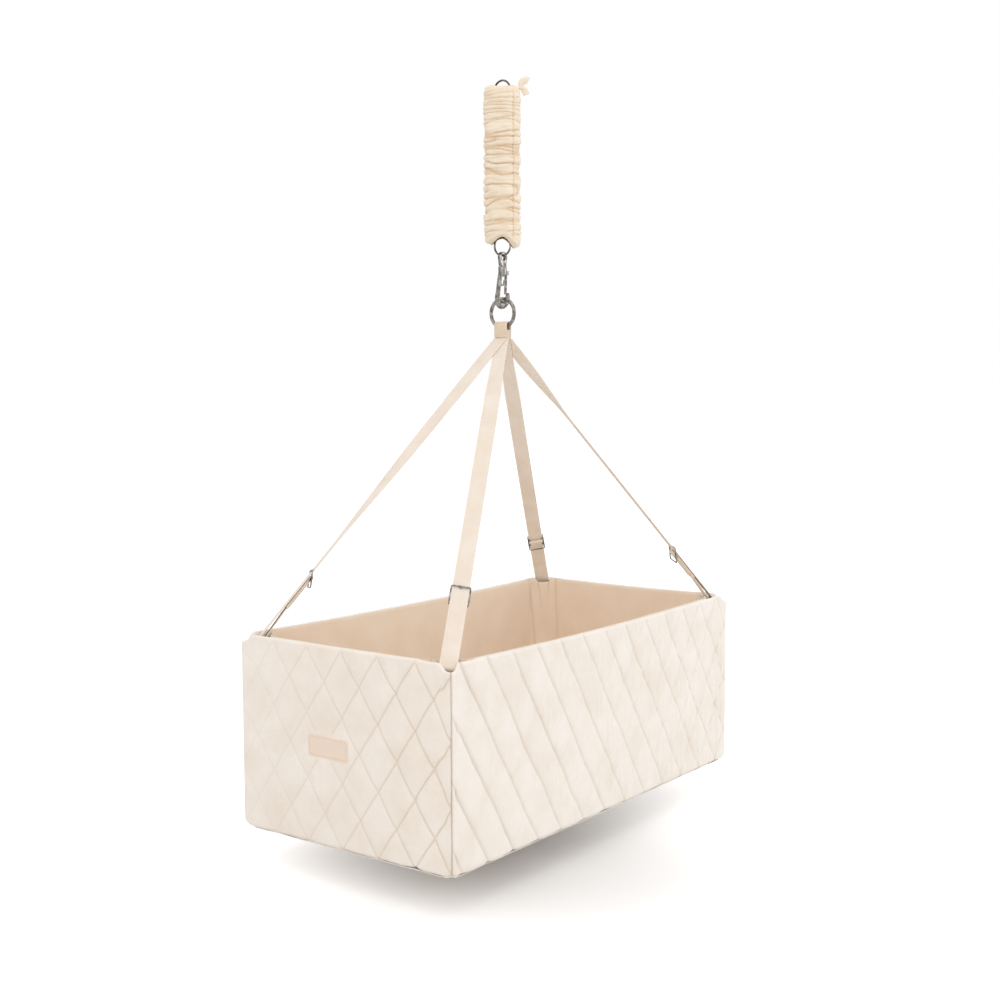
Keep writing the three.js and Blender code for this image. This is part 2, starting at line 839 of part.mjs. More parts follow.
function anchorWebbingBody(corner) {
  const [, x, y] = corner;
  const { across, hang, lower, inward } = anchorFrame(corner);
  const stations = [];
  const add = (centre, widthWay, way) =>
    stations.push({ centre, across: widthWay, face: way.clone().cross(widthWay).normalize() });
  const rise = hang.clone().negate();
  const tail = lower.clone().addScaledVector(inward, anchorWrap);
  add(tail.clone().addScaledVector(hang, anchorTail), across, rise);
  add(tail, across, rise);
  for (let i = 1; i < bendSteps; i++) {
    const angle = (Math.PI * i) / bendSteps;
    const centre = lower
      .clone()
      .addScaledVector(inward, anchorWrap * Math.cos(angle))
      .addScaledVector(rise, anchorWrap * Math.sin(angle));
    const way = rise
      .clone()
      .multiplyScalar(Math.cos(angle))
      .addScaledVector(inward, -Math.sin(angle));
    add(centre, across, way);
  }
  const start = lower.clone().addScaledVector(inward, -anchorWrap);
  add(start, across, hang);
  const across45 = new THREE.Vector3(-y, x, 0).normalize();
  const chord = across45.dot(across) < 0 ? across45.negate() : across45;
  const inward45 = new THREE.Vector3(-x, -y, 0).normalize();
  const runZ = rimZ + floorZ + seat + strapHalf;
  const bend = strapThickness + strapThickness;
  const middle = new THREE.Vector3(
    x * (basketLength / 2 - panelThickness),
    y * (basketWidth / 2 - panelThickness),
    0
  );
  const depth = start.clone().sub(middle).setZ(0).dot(inward45);
  const foot = (inset, z) => middle.clone().addScaledVector(inward45, inset).setZ(z);
  const down = up.clone().negate();
  add(foot(depth, rimZ - basketHeight / 2), chord, down);
  add(foot(depth, runZ + bend), chord, down);
  add(
    foot(depth + bend * (1 - bisectorShare), runZ + bend * (1 - bisectorShare)),
    chord,
    down.clone().add(inward45).normalize()
  );
  add(foot(depth + bend, runZ), chord, inward45);
  add(foot(depth + anchorTuck, runZ), chord, inward45);
  return ribbon(stations, strapWidth, strapThickness);
}

for (const corner of corners) {
  const [name] = corner;
  addPiece(cradle, `strap_${name}`, strapBody(corner), colours.strap, 0.9);
  addPiece(cradle, `strap_end_${name}`, strapEndBody(corner), colours.strap, 0.9);
  steelPiece(cradle, `slider_${name}`, sliderBody(corner));
  steelPiece(cradle, `anchor_ring_${name}`, anchorRingBody(corner));
  addPiece(cradle, `anchor_webbing_${name}`, anchorWebbingBody(corner), colours.strap, 0.9);
}

// The tab that holds the four straps on the ring
function ringTabBody() {
  const outer = tabInnerHalf + tabThickness;
  const shape = new THREE.Shape();
  shape.moveTo(outer, tabBottomZ);
  shape.lineTo(outer, tabArcZ);
  shape.absarc(0, tabArcZ, outer, 0, Math.PI, false);
  shape.lineTo(-outer, tabBottomZ);
  shape.lineTo(-tabInnerHalf, tabBottomZ);
  shape.lineTo(-tabInnerHalf, tabArcZ);
  shape.absarc(0, tabArcZ, tabInnerHalf, Math.PI, 0, true);
  shape.lineTo(tabInnerHalf, tabBottomZ);
  return plateXZ(shape, tabWidth);
}

addPiece(cradle, 'ring_tab', ringTabBody(), colours.tab, 0.9);

const ringBody = new THREE.TorusGeometry(ringRadius, ringWireHalf, wireSides, ringSteps)
  .rotateY(Math.PI / 2)
  .translate(0, 0, ringZ);
steelPiece(cradle, 'load_ring', ringBody);

// The snap hook and its swivel eye, drawn in X and Z

const headRadius = headDiameter / 2;
const pinX = headRadius + pinDiameter / 2;
const pinZ = headBottomZ + headHeight / 4;

// A forged bar that swells and tapers along a smooth line of places in X and Z
function forgedBar(places, steps, thickness, sides) {
  const line = places.map(([x, z, half]) => new THREE.Vector3(x, z, half));
  const curve = new THREE.CatmullRomCurve3(line, false, 'centripetal');
  const rings = [];
  for (let i = 0; i <= steps; i++) {
    const point = curve.getPoint(i / steps);
    const way = curve.getTangent(i / steps).setZ(0).normalize();
    const beside = new THREE.Vector3(-way.y, 0, way.x);
    const centre = new THREE.Vector3(point.x, 0, point.y);
    const thin = Math.min(thickness / 2, point.z * forgeThickShare);
    rings.push(
      Array.from({ length: sides }, (_, j) => {
        const angle = (2 * Math.PI * (j + 1 / 2)) / sides;
        return centre
          .clone()
          .addScaledVector(beside, point.z * Math.cos(angle))
          .addScaledVector(acrossY, thin * Math.sin(angle));
      })
    );
  }
  return loft(rings);
}

function swivelEyeBody() {
  const outer = eyeHole / 2 + eyeWire;
  const shape = new THREE.Shape();
  shape.moveTo(eyeShoulder, eyeBottomZ);
  shape.lineTo(outer, eyeZ);
  shape.absarc(0, eyeZ, outer, 0, Math.PI, false);
  shape.lineTo(-eyeShoulder, eyeBottomZ);
  const hole = new THREE.Path();
  hole.absarc(0, eyeZ, eyeHole / 2, 0, Math.PI * 2, true);
  shape.holes.push(hole);
  const eye = toManifold(plateXZ(shape, eyeThickness, eyeSteps));
  const shankRadius = shankDiameter / 2;
  const rivetTop = headBottomZ - headGap;
  const shank = new THREE.LatheGeometry(
    [
      new THREE.Vector2(0, rivetTop - rivetHeight),
      new THREE.Vector2(rivetDiameter / 2, rivetTop - rivetHeight),
      new THREE.Vector2(rivetDiameter / 2, rivetTop),
      new THREE.Vector2(shankRadius, rivetTop),
      new THREE.Vector2(shankRadius, eyeBottomZ + eyeThickness / 2),
      new THREE.Vector2(0, eyeBottomZ + eyeThickness / 2),
    ],
    roundSides
  ).rotateX(Math.PI / 2);
  return fromManifold(eye.add(toManifold(shank)));
}

// The heel and the toe of the bend, as shares of its width: across, up and half its depth
const heelShares = [-0.72, -0.38, 0.47];
const toeShares = [0.78, -0.15, 0.345];
// How high the nose is full and how high it ends, as shares of its width
const noseRiseShares = [0.9, 1.65];
const noseTipShare = 0.72;
const noseLeanShare = 0.1;

function hookBody() {
  const legHalf = spineWidth / 2;
  const noseHalf = noseWidth / 2;
  const atBend = ([across, rise, half]) => [
    bendWidth * across,
    crownZ + bendWidth * rise,
    bendWidth * half,
  ];
  const [noseRise, tipRise] = noseRiseShares;
  const places = [
    [-headRadius + legHalf, headBottomZ + headHeight / 2, legHalf],
    [-legTop, headBottomZ, legHalf],
    [-legBottom + legHalf / 2, crownZ + hookDrop / 3, legHalf],
    [-legBottom, crownZ + noseHalf, noseHalf],
    atBend(heelShares),
    [0, crownZ - bendWidth / 2, bendWidth / 2],
    atBend(toeShares),
    [legBottom, crownZ + noseWidth * noseRise, legHalf],
    [legBottom - noseHalf * noseLeanShare, crownZ + noseWidth * tipRise, legHalf * noseTipShare],
  ];
  let hook = toManifold(forgedBar(places, hookSteps, hookThickness, hookSides));
  const head = new THREE.CylinderGeometry(headRadius, headRadius, headHeight, roundSides)
    .rotateX(Math.PI / 2)
    .translate(0, 0, (headTopZ + headBottomZ) / 2);
  const lugHeight = headHeight / 2;
  const pinRadius = pinDiameter / 2 + seat;
  const lugReach = pinX + pinRadius + earWall;
  const lugZ = headBottomZ + lugHeight / 2;
  const lug = placedBox(lugReach, hookThickness, lugHeight, lugReach / 2, 0, lugZ);
  hook = hook.add(toManifold(head)).add(toManifold(lug));
  const shankRadius = shankDiameter / 2 + bearingClearance;
  const shankHole = new THREE.CylinderGeometry(
    shankRadius,
    shankRadius,
    headHeight + overrun + overrun,
    roundSides
  )
    .rotateX(Math.PI / 2)
    .translate(0, 0, (headTopZ + headBottomZ) / 2);
  const rivetRoom = placedBox(
    rivetDiameter + headGap + headGap,
    hookThickness + overrun,
    overrun,
    0,
    0,
    headBottomZ - overrun / 2
  );
  const slotStart = shankRadius + seat;
  const slotEnd = lugReach + overrun;
  const slot = placedBox(
    slotEnd - slotStart,
    gateSlotWidth,
    lugHeight + overrun,
    (slotStart + slotEnd) / 2,
    0,
    lugZ - overrun / 2
  );
  const pinHole = new THREE.CylinderGeometry(
    pinRadius,
    pinRadius,
    hookThickness + overrun,
    holeSides
  ).translate(pinX, 0, pinZ);
  hook = hook.subtract(toManifold(shankHole)).subtract(toManifold(slot));
  return fromManifold(hook.subtract(toManifold(pinHole)).subtract(toManifold(rivetRoom)));
}

steelPiece(cradle, 'swivel_eye', swivelEyeBody());
steelPiece(cradle, 'hook_body', hookBody());

// The gate hangs on its pin and closes against the inside of the hook's nose
const gateHalf = gateWidth / 2;
const noseInnerX = legBottom - spineWidth / 2;
const gateTipX = noseInnerX - seat - gateHalf;
const gateTipZ = crownZ + ringWire + gateWidth;
// The gate's waist: out by its width, down by the head's height and half as deep as it is
const gateWaistShares = [0.12, 0.4, 0.85];

function gateBody() {
  const [waistX, waistDrop, waistHalf] = gateWaistShares;
  const places = [
    [pinX, pinZ + gateHalf, gateHalf * waistHalf],
    [pinX, pinZ, gateHalf],
    [pinX + gateWidth * waistX, pinZ - headHeight * waistDrop, gateHalf * waistHalf],
    [gateTipX, gateTipZ + gateWidth, gateHalf],
    [gateTipX, gateTipZ, gateHalf],
  ];
  const lever = toManifold(forgedBar(places, gateSteps, gateThickness, gateSides));
  const pinRadius = pinDiameter / 2 + seat;
  const hole = new THREE.CylinderGeometry(
    pinRadius,
    pinRadius,
    gateThickness + overrun,
    holeSides
  );
  return fromManifold(lever.subtract(toManifold(hole.translate(pinX, 0, pinZ))));
}

const gatePin = new THREE.CylinderGeometry(
  pinDiameter / 2,
  pinDiameter / 2,
  hookThickness,
  holeSides
);
steelPiece(cradle, 'gate_pin', gatePin.translate(pinX, 0, pinZ));
steelPiece(cradle, 'hook_gate', gateBody());

// A bent leaf between the spine and the gate keeps the gate shut. Each row gives a place
// from the spine's side to the gate's, and how far down the leaf it is.
const leafDropShare = 0.75;
const spineLeafShares = [0, 0.6];
const bendLeafShares = [
  [0.25, 1],
  [0.7, 0.85],
  [0.92, 0.3],
  [1.04, 0],
];

function gateSpringBody() {
  const leafHalf = springLeaf / 2;
  const spineX = -legTop + spineWidth / 2 + seat + leafHalf;
  const gateX = pinX - gateHalf - seat - leafHalf;
  const topZ = headBottomZ - rivetHeight - headGap - gateWidth;
  const drop = headHeight * leafDropShare;
  const lean = (legBottom - legTop) / (headBottomZ - crownZ);
  const place = (x, down) => new THREE.Vector3(x, 0, topZ - drop * down);
  const places = [
    ...spineLeafShares.map((down) =>
      place(spineX - lean * (headBottomZ - topZ + drop * down), down)
    ),
    ...bendLeafShares.map(([x, down]) => place(THREE.MathUtils.lerp(spineX, gateX, x), down)),
  ];
  const path = new THREE.CatmullRomCurve3(places).getPoints(springLeafSteps);
  return ribbon(pathStations(path, acrossY), springLeafWidth, springLeaf);
}

steelPiece(cradle, 'gate_spring', gateSpringBody());

// The extension spring: a coil between two loops, all of one wire

function springCoilBody() {
  const steps = springTurns * coilSteps;
  const path = Array.from({ length: steps + 1 }, (_, i) => {
    const angle = (2 * Math.PI * i) / coilSteps;
    return new THREE.Vector3(
      coilRadius * Math.cos(angle),
      coilRadius * Math.sin(angle),
      coilBottomZ + coilLength * (i / steps)
    );
  });
  const rings = path.map((point, i) => {
    const outward = point.clone().setZ(0).normalize();
    return circle(point, outward, up, springWireHalf, coilSides);
  });
  const gaps = rings.slice(coilSteps).flatMap((ring, i) =>
    ring.flatMap((point) => rings[i].map((below) => point.distanceTo(below)))
  );
  console.log(`spring coil: least gap between turns ${Math.min(...gaps).toFixed(2)} mm`);
  return loft(rings);
}

// The loop above the coil: it leaves the coil's last turn and rises across the middle.
// Each row of the stem gives X and Y by the coil's radius and the rise by its height.
const stemShares = [
  [1, 0.14, 0.01],
  [0.78, 0.62, 0.06],
  [0.3, 0.9, 0.26],
  [0, 0.66, 0.55],
];
const loopStartShare = -1 / 12;
const loopSweepShare = 0.71;
const loopPoints = 20;

function springLoopBody() {
  const path = [new THREE.Vector3(coilRadius, seat, coilTopZ)];
  for (const [x, y, rise] of stemShares) {
    path.push(new THREE.Vector3(coilRadius * x, coilRadius * y, coilTopZ + coilToLoop * rise));
  }
  for (let i = 0; i <= loopPoints; i++) {
    const angle = Math.PI * 2 * (loopStartShare + loopSweepShare * (i / loopPoints));
    path.push(
      new THREE.Vector3(0, loopRadius * Math.cos(angle), topLoopZ + loopRadius * Math.sin(angle))
    );
  }
  const curve = new THREE.CatmullRomCurve3(path, false, 'centripetal');
  const wire = new THREE.Shape();
  wire.absarc(0, 0, springWireHalf, 0, Math.PI * 2, false);
  return new THREE.ExtrudeGeometry(wire, {
    steps: loopSteps,
    curveSegments: loopCurveSegments,
    bevelEnabled: false,
    extrudePath: curve,
  });
}

steelPiece(cradle, 'spring_top_loop', springLoopBody());
steelPiece(cradle, 'extension_spring', springCoilBody());
const bottomLoop = springLoopBody().rotateX(Math.PI).translate(0, 0, coilTopZ + coilBottomZ);
steelPiece(cradle, 'spring_bottom_loop', bottomLoop);

// The gathered cloth sleeve over the spring. Its lower hem hangs lower on the tie's side.

const tieAngle = Math.PI * 2 * tieTurnShare;
// How far the gathers' bite varies round the sleeve, and how that drifts from fold to fold
const biteShares = [0.65, 0.35];
const biteWaves = 3;
const biteDrift = 1.7;
const swayWaves = 9;

function sleeveBody() {
  const spans = sleeveFolds + sleeveFolds;
  const bottom = bottomLoopZ - sleeveBottomDrop;
  const top = topLoopZ + sleeveTopRise;
  const ringAt = (share, radiusAt) =>
    Array.from({ length: sleeveSides }, (_, j) => {
      const angle = (2 * Math.PI * j) / sleeveSides;
      const low = bottom - sleeveLobe * Math.max(Math.cos(angle - tieAngle), 0);
      const radius = radiusAt(angle);
      const tilt = Math.sin(angle + angle + share * Math.PI * swayWaves) * share * (1 - share);
      return new THREE.Vector3(
        radius * Math.cos(angle),
        radius * Math.sin(angle),
        low + (top - low) * share + (sleeveFoldDepth + sleeveFoldDepth) * tilt
      );
    });
  const swell = (share) =>
    THREE.MathUtils.smoothstep(Math.min(share, 1 - share) / sleeveMouthShare, 0, 1);
  const [leastBite, moreBite] = biteShares;
  const rings = [];
  for (let i = 0; i <= spans; i++) {
    const share = i / spans;
    const body = THREE.MathUtils.lerp(sleeveMouthOuter, sleeveOuter, swell(share));
    const gathered = i % 2 === 0;
    rings.push(
      ringAt(share, (angle) => {
        const bite = leastBite + moreBite * Math.sin(angle * biteWaves + i * biteDrift);
        return gathered ? body - sleeveFoldDepth * bite * swell(share) : body;
      })
    );
  }
  const hemShare = sleeveMouthShare / 2;
  rings.push(ringAt(1, () => sleeveMouth), ringAt(1 - hemShare, () => sleeveMouth));
  rings.push(ringAt(1 - sleeveMouthShare, () => sleeveInner));
  rings.push(ringAt(sleeveMouthShare, () => sleeveInner));
  rings.push(ringAt(hemShare, () => sleeveMouth), ringAt(0, () => sleeveMouth));
  return loft(rings, true);
}

addPiece(cradle, 'spring_sleeve', sleeveBody(), colours.sleeve, 0.95);

// The tie: a small knot with its loops and tails at the sleeve's top hem, as shares of the knot
const tieShares = [
  [-0.5, -0.5],
  [0.2, -0.9],
  [1.2, -1.5],
  [1.9, -1.1],
  [0.7, -0.1],
  [1.3, 0.6],
  [1.6, 1.9],
  [0.9, 2.1],
  [0.1, 0.8],
  [-0.6, 0.5],
];

function sleeveTieBody() {
  const outline = tieShares.map(([a, b]) => new THREE.Vector2(a * tieKnot, b * tieKnot));
  return plateXZ(new THREE.Shape(outline), tieThickness + tieThickness);
}

const tieGroup = new THREE.Group();
tieGroup.rotation.z = tieAngle;
cradle.add(tieGroup);
const tie = addPiece(tieGroup, 'sleeve_tie', sleeveTieBody(), colours.sleeve, 0.95);
const tieReach = Math.max(...tieShares.map(([a]) => -a)) * tieKnot;
tie.position.set(sleeveMouthOuter + seat + tieReach, 0, topLoopZ + tieKnot);

export default cradle;
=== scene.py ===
import math

import bpy
from mathutils import Matrix, Vector, noise


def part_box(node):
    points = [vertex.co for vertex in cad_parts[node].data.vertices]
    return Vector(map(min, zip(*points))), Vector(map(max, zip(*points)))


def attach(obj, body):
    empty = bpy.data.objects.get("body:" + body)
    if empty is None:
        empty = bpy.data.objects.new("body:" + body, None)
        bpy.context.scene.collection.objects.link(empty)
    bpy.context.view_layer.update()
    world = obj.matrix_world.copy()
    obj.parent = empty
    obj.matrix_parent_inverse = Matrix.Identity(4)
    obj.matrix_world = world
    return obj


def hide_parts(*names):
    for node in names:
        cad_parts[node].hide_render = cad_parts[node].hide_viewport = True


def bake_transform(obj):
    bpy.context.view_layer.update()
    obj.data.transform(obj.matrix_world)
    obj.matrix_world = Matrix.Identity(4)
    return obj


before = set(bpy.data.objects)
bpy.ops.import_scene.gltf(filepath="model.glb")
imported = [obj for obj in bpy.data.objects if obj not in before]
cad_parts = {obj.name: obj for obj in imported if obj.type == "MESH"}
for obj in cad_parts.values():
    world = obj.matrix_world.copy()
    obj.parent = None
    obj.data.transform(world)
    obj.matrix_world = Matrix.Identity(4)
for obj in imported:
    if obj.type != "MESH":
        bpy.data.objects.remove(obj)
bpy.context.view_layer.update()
print("frame loaded:", len(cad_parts), "nodes")

mm = 0.001
waveUnit = 0.314  # a wave texture's bands lie about this far apart at scale 1, in metres
up = Vector((0, 0, 1))
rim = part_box("outer_panel_front")[1].z
halfLength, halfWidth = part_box("bottom_panel")[1].xy
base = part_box("bottom_panel")[0].z
basketHeight = rim - base


# Small tools that every piece uses

def clearSelection():
    if bpy.context.mode != "OBJECT":
        bpy.ops.object.mode_set(mode="OBJECT")
    bpy.ops.object.select_all(action="DESELECT")


def pick(piece):
    clearSelection()
    piece.select_set(True)
    bpy.context.view_layer.objects.active = piece


def applyAll(piece):
    pick(piece)
    for modifier in list(piece.modifiers):
        bpy.ops.object.modifier_apply(modifier=modifier.name)


def closeShell(piece, capped=True):
    # joins the two edges of a rolled-up grid, caps its open ends and turns the faces out
    pick(piece)
    bpy.ops.object.mode_set(mode="EDIT")
    bpy.ops.mesh.select_all(action="SELECT")
    bpy.ops.mesh.remove_doubles(threshold=2e-6)
    if capped:
        bpy.ops.mesh.fill_holes(sides=0)
    bpy.ops.mesh.select_all(action="SELECT")
    bpy.ops.mesh.normals_make_consistent(inside=False)
    bpy.ops.object.mode_set(mode="OBJECT")


def placedGrid(name, columns, rows, place, size, poked=False):
    # a flat cut of cloth, size in metres, whose points are then moved to where place says
    clearSelection()
    bpy.ops.mesh.primitive_grid_add(x_subdivisions=columns, y_subdivisions=rows, size=2)
    piece = bpy.context.object
    piece.name = piece.data.name = name
    if poked:
        bpy.ops.object.mode_set(mode="EDIT")
        bpy.ops.mesh.select_all(action="SELECT")
        bpy.ops.mesh.poke()
        bpy.ops.object.mode_set(mode="OBJECT")
    mesh = piece.data
    shares = [((v.co.x + 1) / 2, (v.co.y + 1) / 2) for v in mesh.vertices]
    for corner, spot in zip(mesh.loops, mesh.uv_layers.active.data):
        u, v = shares[corner.vertex_index]
        spot.uv = (u * size[0], v * size[1])
    for vertex, (u, v) in zip(mesh.vertices, shares):
        vertex.co = place(u, v)
    bpy.ops.object.shade_smooth()
    return piece


def sweptPiece(name, rings, acrossAt, alongStep):
    # rings of points joined into a closed body; acrossAt gives each ring point's place across
    sides = len(rings[0])
    rows = len(rings) - 1
    piece = placedGrid(
        name, sides, rows,
        lambda u, v: rings[round(v * rows)][round(u * sides) % sides],
        (1, 1),
    )
    across = list(acrossAt) + [acrossAt[0]]
    for spot in piece.data.uv_layers.active.data:
        spot.uv = (across[round(spot.uv.x * sides)], spot.uv.y * rows * alongStep)
    closeShell(piece)
    return piece


def roundedBlock(name, size, axis, radius, segments):
    # a block round the origin, size in metres, with its four edges along one axis rounded
    clearSelection()
    bpy.ops.mesh.primitive_cube_add(size=1, location=(0, 0, 0))
    piece = bpy.context.object
    piece.name = piece.data.name = name
    for vertex in piece.data.vertices:
        vertex.co = Vector(a * b for a, b in zip(vertex.co, size))
    bpy.ops.object.mode_set(mode="EDIT")
    bpy.ops.mesh.select_mode(type="EDGE")
    bpy.ops.mesh.select_all(action="DESELECT")
    bpy.ops.object.mode_set(mode="OBJECT")
    for edge in piece.data.edges:
        ends = [piece.data.vertices[i].co for i in edge.vertices]
        edge.select = abs(ends[0][axis] - ends[1][axis]) > size[axis] / 2
    bpy.ops.object.mode_set(mode="EDIT")
    bpy.ops.mesh.bevel(offset=radius * mm, segments=segments, affect="EDGES")
    bpy.ops.object.mode_set(mode="OBJECT")
    return piece


def thicken(piece, thickness, offset=-1):
    skin = piece.modifiers.new("thickness", "SOLIDIFY")
    skin.thickness = thickness * mm
    skin.offset = offset
    applyAll(piece)


def markThreadAndShade(piece, amounts):
    # how much sewing thread shows at each point of the cloth, and on some pieces how much painted shade lies
    # in its folds, creases and seams
    attribute = piece.data.attributes.new("seam", "FLOAT", "POINT")
    attribute.data.foreach_set("value", amounts)


def paint(piece, material):
    piece.data.materials.clear()
    piece.data.materials.append(material)


def finishPiece(piece, material, body, nodes=()):
    paint(piece, material)
    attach(piece, body)
    if nodes:
        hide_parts(*nodes)


def smoothShare(value, start, end):
    # 0 before start, 1 after end, and a smooth rise between them
    share = min(max((value - start) / (end - start), 0), 1)
    return share * share * (3 - 2 * share)


def rippled(x, y, z=0.0):
    # a smooth, seedless unevenness of about 1 either way
    return noise.noise(Vector((x, y, z)))


# Materials

def linear(code):
    parts = [int(code[i:i + 2], 16) / 255 for i in (1, 3, 5)]
    return [p / 12.92 if p <= 0.04045 else ((p + 0.055) / 1.055) ** 2.4 for p in parts] + [1]


def addNode(tree, kind, settings, links=None):
    node = tree.nodes.new(kind)
    for key, value in settings.items():
        if isinstance(key, int) or key in node.inputs:
            node.inputs[key].default_value = value
        else:
            setattr(node, key, value)
    for key, socket in (links or {}).items():
        tree.links.new(socket, node.inputs[key])
    return node


def startMaterial(name, settings):
    material = bpy.data.materials.new(name)
    material.use_nodes = True
    tree = material.node_tree
    shader = tree.nodes["Principled BSDF"]
    for key, value in settings.items():
        shader.inputs[key].default_value = value
    return material, tree, shader


def cotton(name, values):
    # Woven cotton: matt, with a faint bloom of loose fibres, slubs in the yarn and soft creases.
    # The real yarns lie 0.4 mm apart. They are drawn wider, at the spacing given, so that they show.
    material, tree, shader = startMaterial(name, {
        "Roughness": 0.92, "Specular IOR Level": 0.25,
        "Sheen Weight": values["bloom"], "Sheen Roughness": 0.5,
    })
    spot = addNode(tree, "ShaderNodeTexCoord", {})
    where = spot.outputs[values.get("pattern", "UV")]
    waveScale = waveUnit / (values["yarnSpacing"] * mm)
    warp = addNode(tree, "ShaderNodeTexWave", {"Scale": waveScale, "bands_direction": "X"},
                   {"Vector": where})
    weft = addNode(tree, "ShaderNodeTexWave", {"Scale": waveScale, "bands_direction": "Y"},
                   {"Vector": where})
    weave = addNode(tree, "ShaderNodeMath", {"operation": "MULTIPLY"},
                    {0: warp.outputs["Fac"], 1: weft.outputs["Fac"]})
    stretch = addNode(tree, "ShaderNodeMapping", {"Scale": (0.12, 1, 0.12)}, {"Vector": where})
    slubs = addNode(tree, "ShaderNodeTexNoise", {"Scale": 1 / (values["slubWidth"] * mm), "Detail": 2},
                    {"Vector": stretch.outputs[0]})
    mottle = addNode(tree, "ShaderNodeTexNoise", {"Scale": 1 / (values["mottleSize"] * mm), "Detail": 4},
                     {"Vector": spot.outputs["Object"]})
    creases = addNode(tree, "ShaderNodeTexNoise", {"Scale": 1 / (values["creaseSize"] * mm), "Detail": 3},
                      {"Vector": spot.outputs["Object"]})
    blended = addNode(tree, "ShaderNodeMath", {"operation": "MULTIPLY_ADD", 1: 0.35},
                      {0: slubs.outputs["Fac"], 2: mottle.outputs["Fac"]})
    tint = addNode(tree, "ShaderNodeValToRGB", {}, {"Fac": blended.outputs[0]})
    tint.color_ramp.elements[0].position = 0.45
    tint.color_ramp.elements[1].position = 0.9
    tint.color_ramp.elements[0].color = linear(values["shade"])
    tint.color_ramp.elements[1].color = linear(values["colour"])
    colour = tint.outputs["Color"]
    relief = addNode(tree, "ShaderNodeMath", {"operation": "MULTIPLY_ADD", 1: values["yarnRelief"]},
                     {0: weave.outputs[0], 2: creases.outputs["Fac"]})
    if "threadAndShadeColour" in values:
        # sewing thread, and on some fabrics painted shade in folds, creases and seams, lie where the "seam"
        # attribute says
        seam = addNode(tree, "ShaderNodeAttribute", {"attribute_name": "seam"})
        amount = seam.outputs["Fac"]
        if "stitchLength" in values:  # the thread dips between stitches
            stitches = addNode(tree, "ShaderNodeTexWave",
                               {"Scale": waveUnit / (values["stitchLength"] * mm),
                                "bands_direction": "Y"},
                               {"Vector": where})
            showing = addNode(tree, "ShaderNodeMath", {"operation": "MULTIPLY_ADD", 1: 0.5, 2: 0.5},
                              {0: stitches.outputs["Fac"]})
            dashed = addNode(tree, "ShaderNodeMath", {"operation": "MULTIPLY"},
                             {0: amount, 1: showing.outputs[0]})
            amount = dashed.outputs[0]
        mixed = addNode(tree, "ShaderNodeMix", {"data_type": "RGBA", 7: linear(values["threadAndShadeColour"])},
                        {0: amount, 6: colour})
        colour = mixed.outputs[2]
    tree.links.new(colour, shader.inputs["Base Color"])
    bump = addNode(tree, "ShaderNodeBump", {"Strength": 0.6, "Distance": values["creaseDepth"] * mm},
                   {"Height": relief.outputs[0]})
    tree.links.new(bump.outputs[0], shader.inputs["Normal"])
    return material


fabrics = {
    # quilted calico: a plain-woven shell over batting, pale natural white; the darker tint along its seams is
    # painted shade in the stitched creases
    "quiltedCalico": {
        "colour": "#F7F0E8", "shade": "#EFE5D9", "yarnSpacing": 1.3, "yarnRelief": 0.05,
        "slubWidth": 1.6, "mottleSize": 45, "creaseSize": 9, "creaseDepth": 0.5, "bloom": 0.15,
        "threadAndShadeColour": "#DCCAB6", "stitchLength": 3.2,
    },
    # lining calico: the same yarn, unquilted; its warmer colour is partly painted shade, for the warm light
    # bounced round inside the basket, and its second, brown colour is painted shade in the deep creases of
    # the corner pleats
    "liningCalico": {
        "colour": "#F5E4D1", "shade": "#EFDBC6", "yarnSpacing": 1.3, "yarnRelief": 0.05,
        "slubWidth": 1.6, "mottleSize": 60, "creaseSize": 14, "creaseDepth": 0.6, "bloom": 0.1,
        "threadAndShadeColour": "#BE9A78",
    },
    # strap cotton: a folded and edge-stitched band, tight and smooth
    "strapCotton": {
        "colour": "#F3E8DC", "shade": "#EBDDCD", "yarnSpacing": 1.1, "yarnRelief": 0.04,
        "slubWidth": 1.2, "mottleSize": 30, "creaseSize": 12, "creaseDepth": 0.1, "bloom": 0.1,
        "threadAndShadeColour": "#F6EDE2", "stitchLength": 3,
    },
    # tab cotton: the same band, doubled and darker with handling
    "tabCotton": {
        "colour": "#EAD9C2", "shade": "#DFCCB2", "yarnSpacing": 1.1, "yarnRelief": 0.04,
        "slubWidth": 1.2, "mottleSize": 12, "creaseSize": 8, "creaseDepth": 0.12, "bloom": 0.1,
        "threadAndShadeColour": "#F3E8D8", "stitchLength": 3,
    },
    # sleeve muslin: thin and gathered, the most yellow of the fabrics; its second, brown colour is painted
    # shade in the gathers' creases, the seam's groove and the turned-in hems
    "sleeveMuslin": {
        "colour": "#F8ECDA", "shade": "#F1E1CA", "yarnSpacing": 1.1, "yarnRelief": 0.08,
        "slubWidth": 1.4, "mottleSize": 20, "creaseSize": 3, "creaseDepth": 0.15, "bloom": 0.15,
        "threadAndShadeColour": "#D9B78C",
    },
    # mattress ticking: smooth, white, with rows of stitching
    "mattressTicking": {
        "colour": "#F6F1E9", "shade": "#EFE8DD", "yarnSpacing": 1.2, "yarnRelief": 0.06,
        "slubWidth": 1.4, "mottleSize": 50, "creaseSize": 10, "creaseDepth": 0.4, "bloom": 0.15,
        "pattern": "Object", "threadAndShadeColour": "#DCD2C4", "stitchLength": 3.5,
    },
}
cloth = {name: cotton(name, values) for name, values in fabrics.items()}


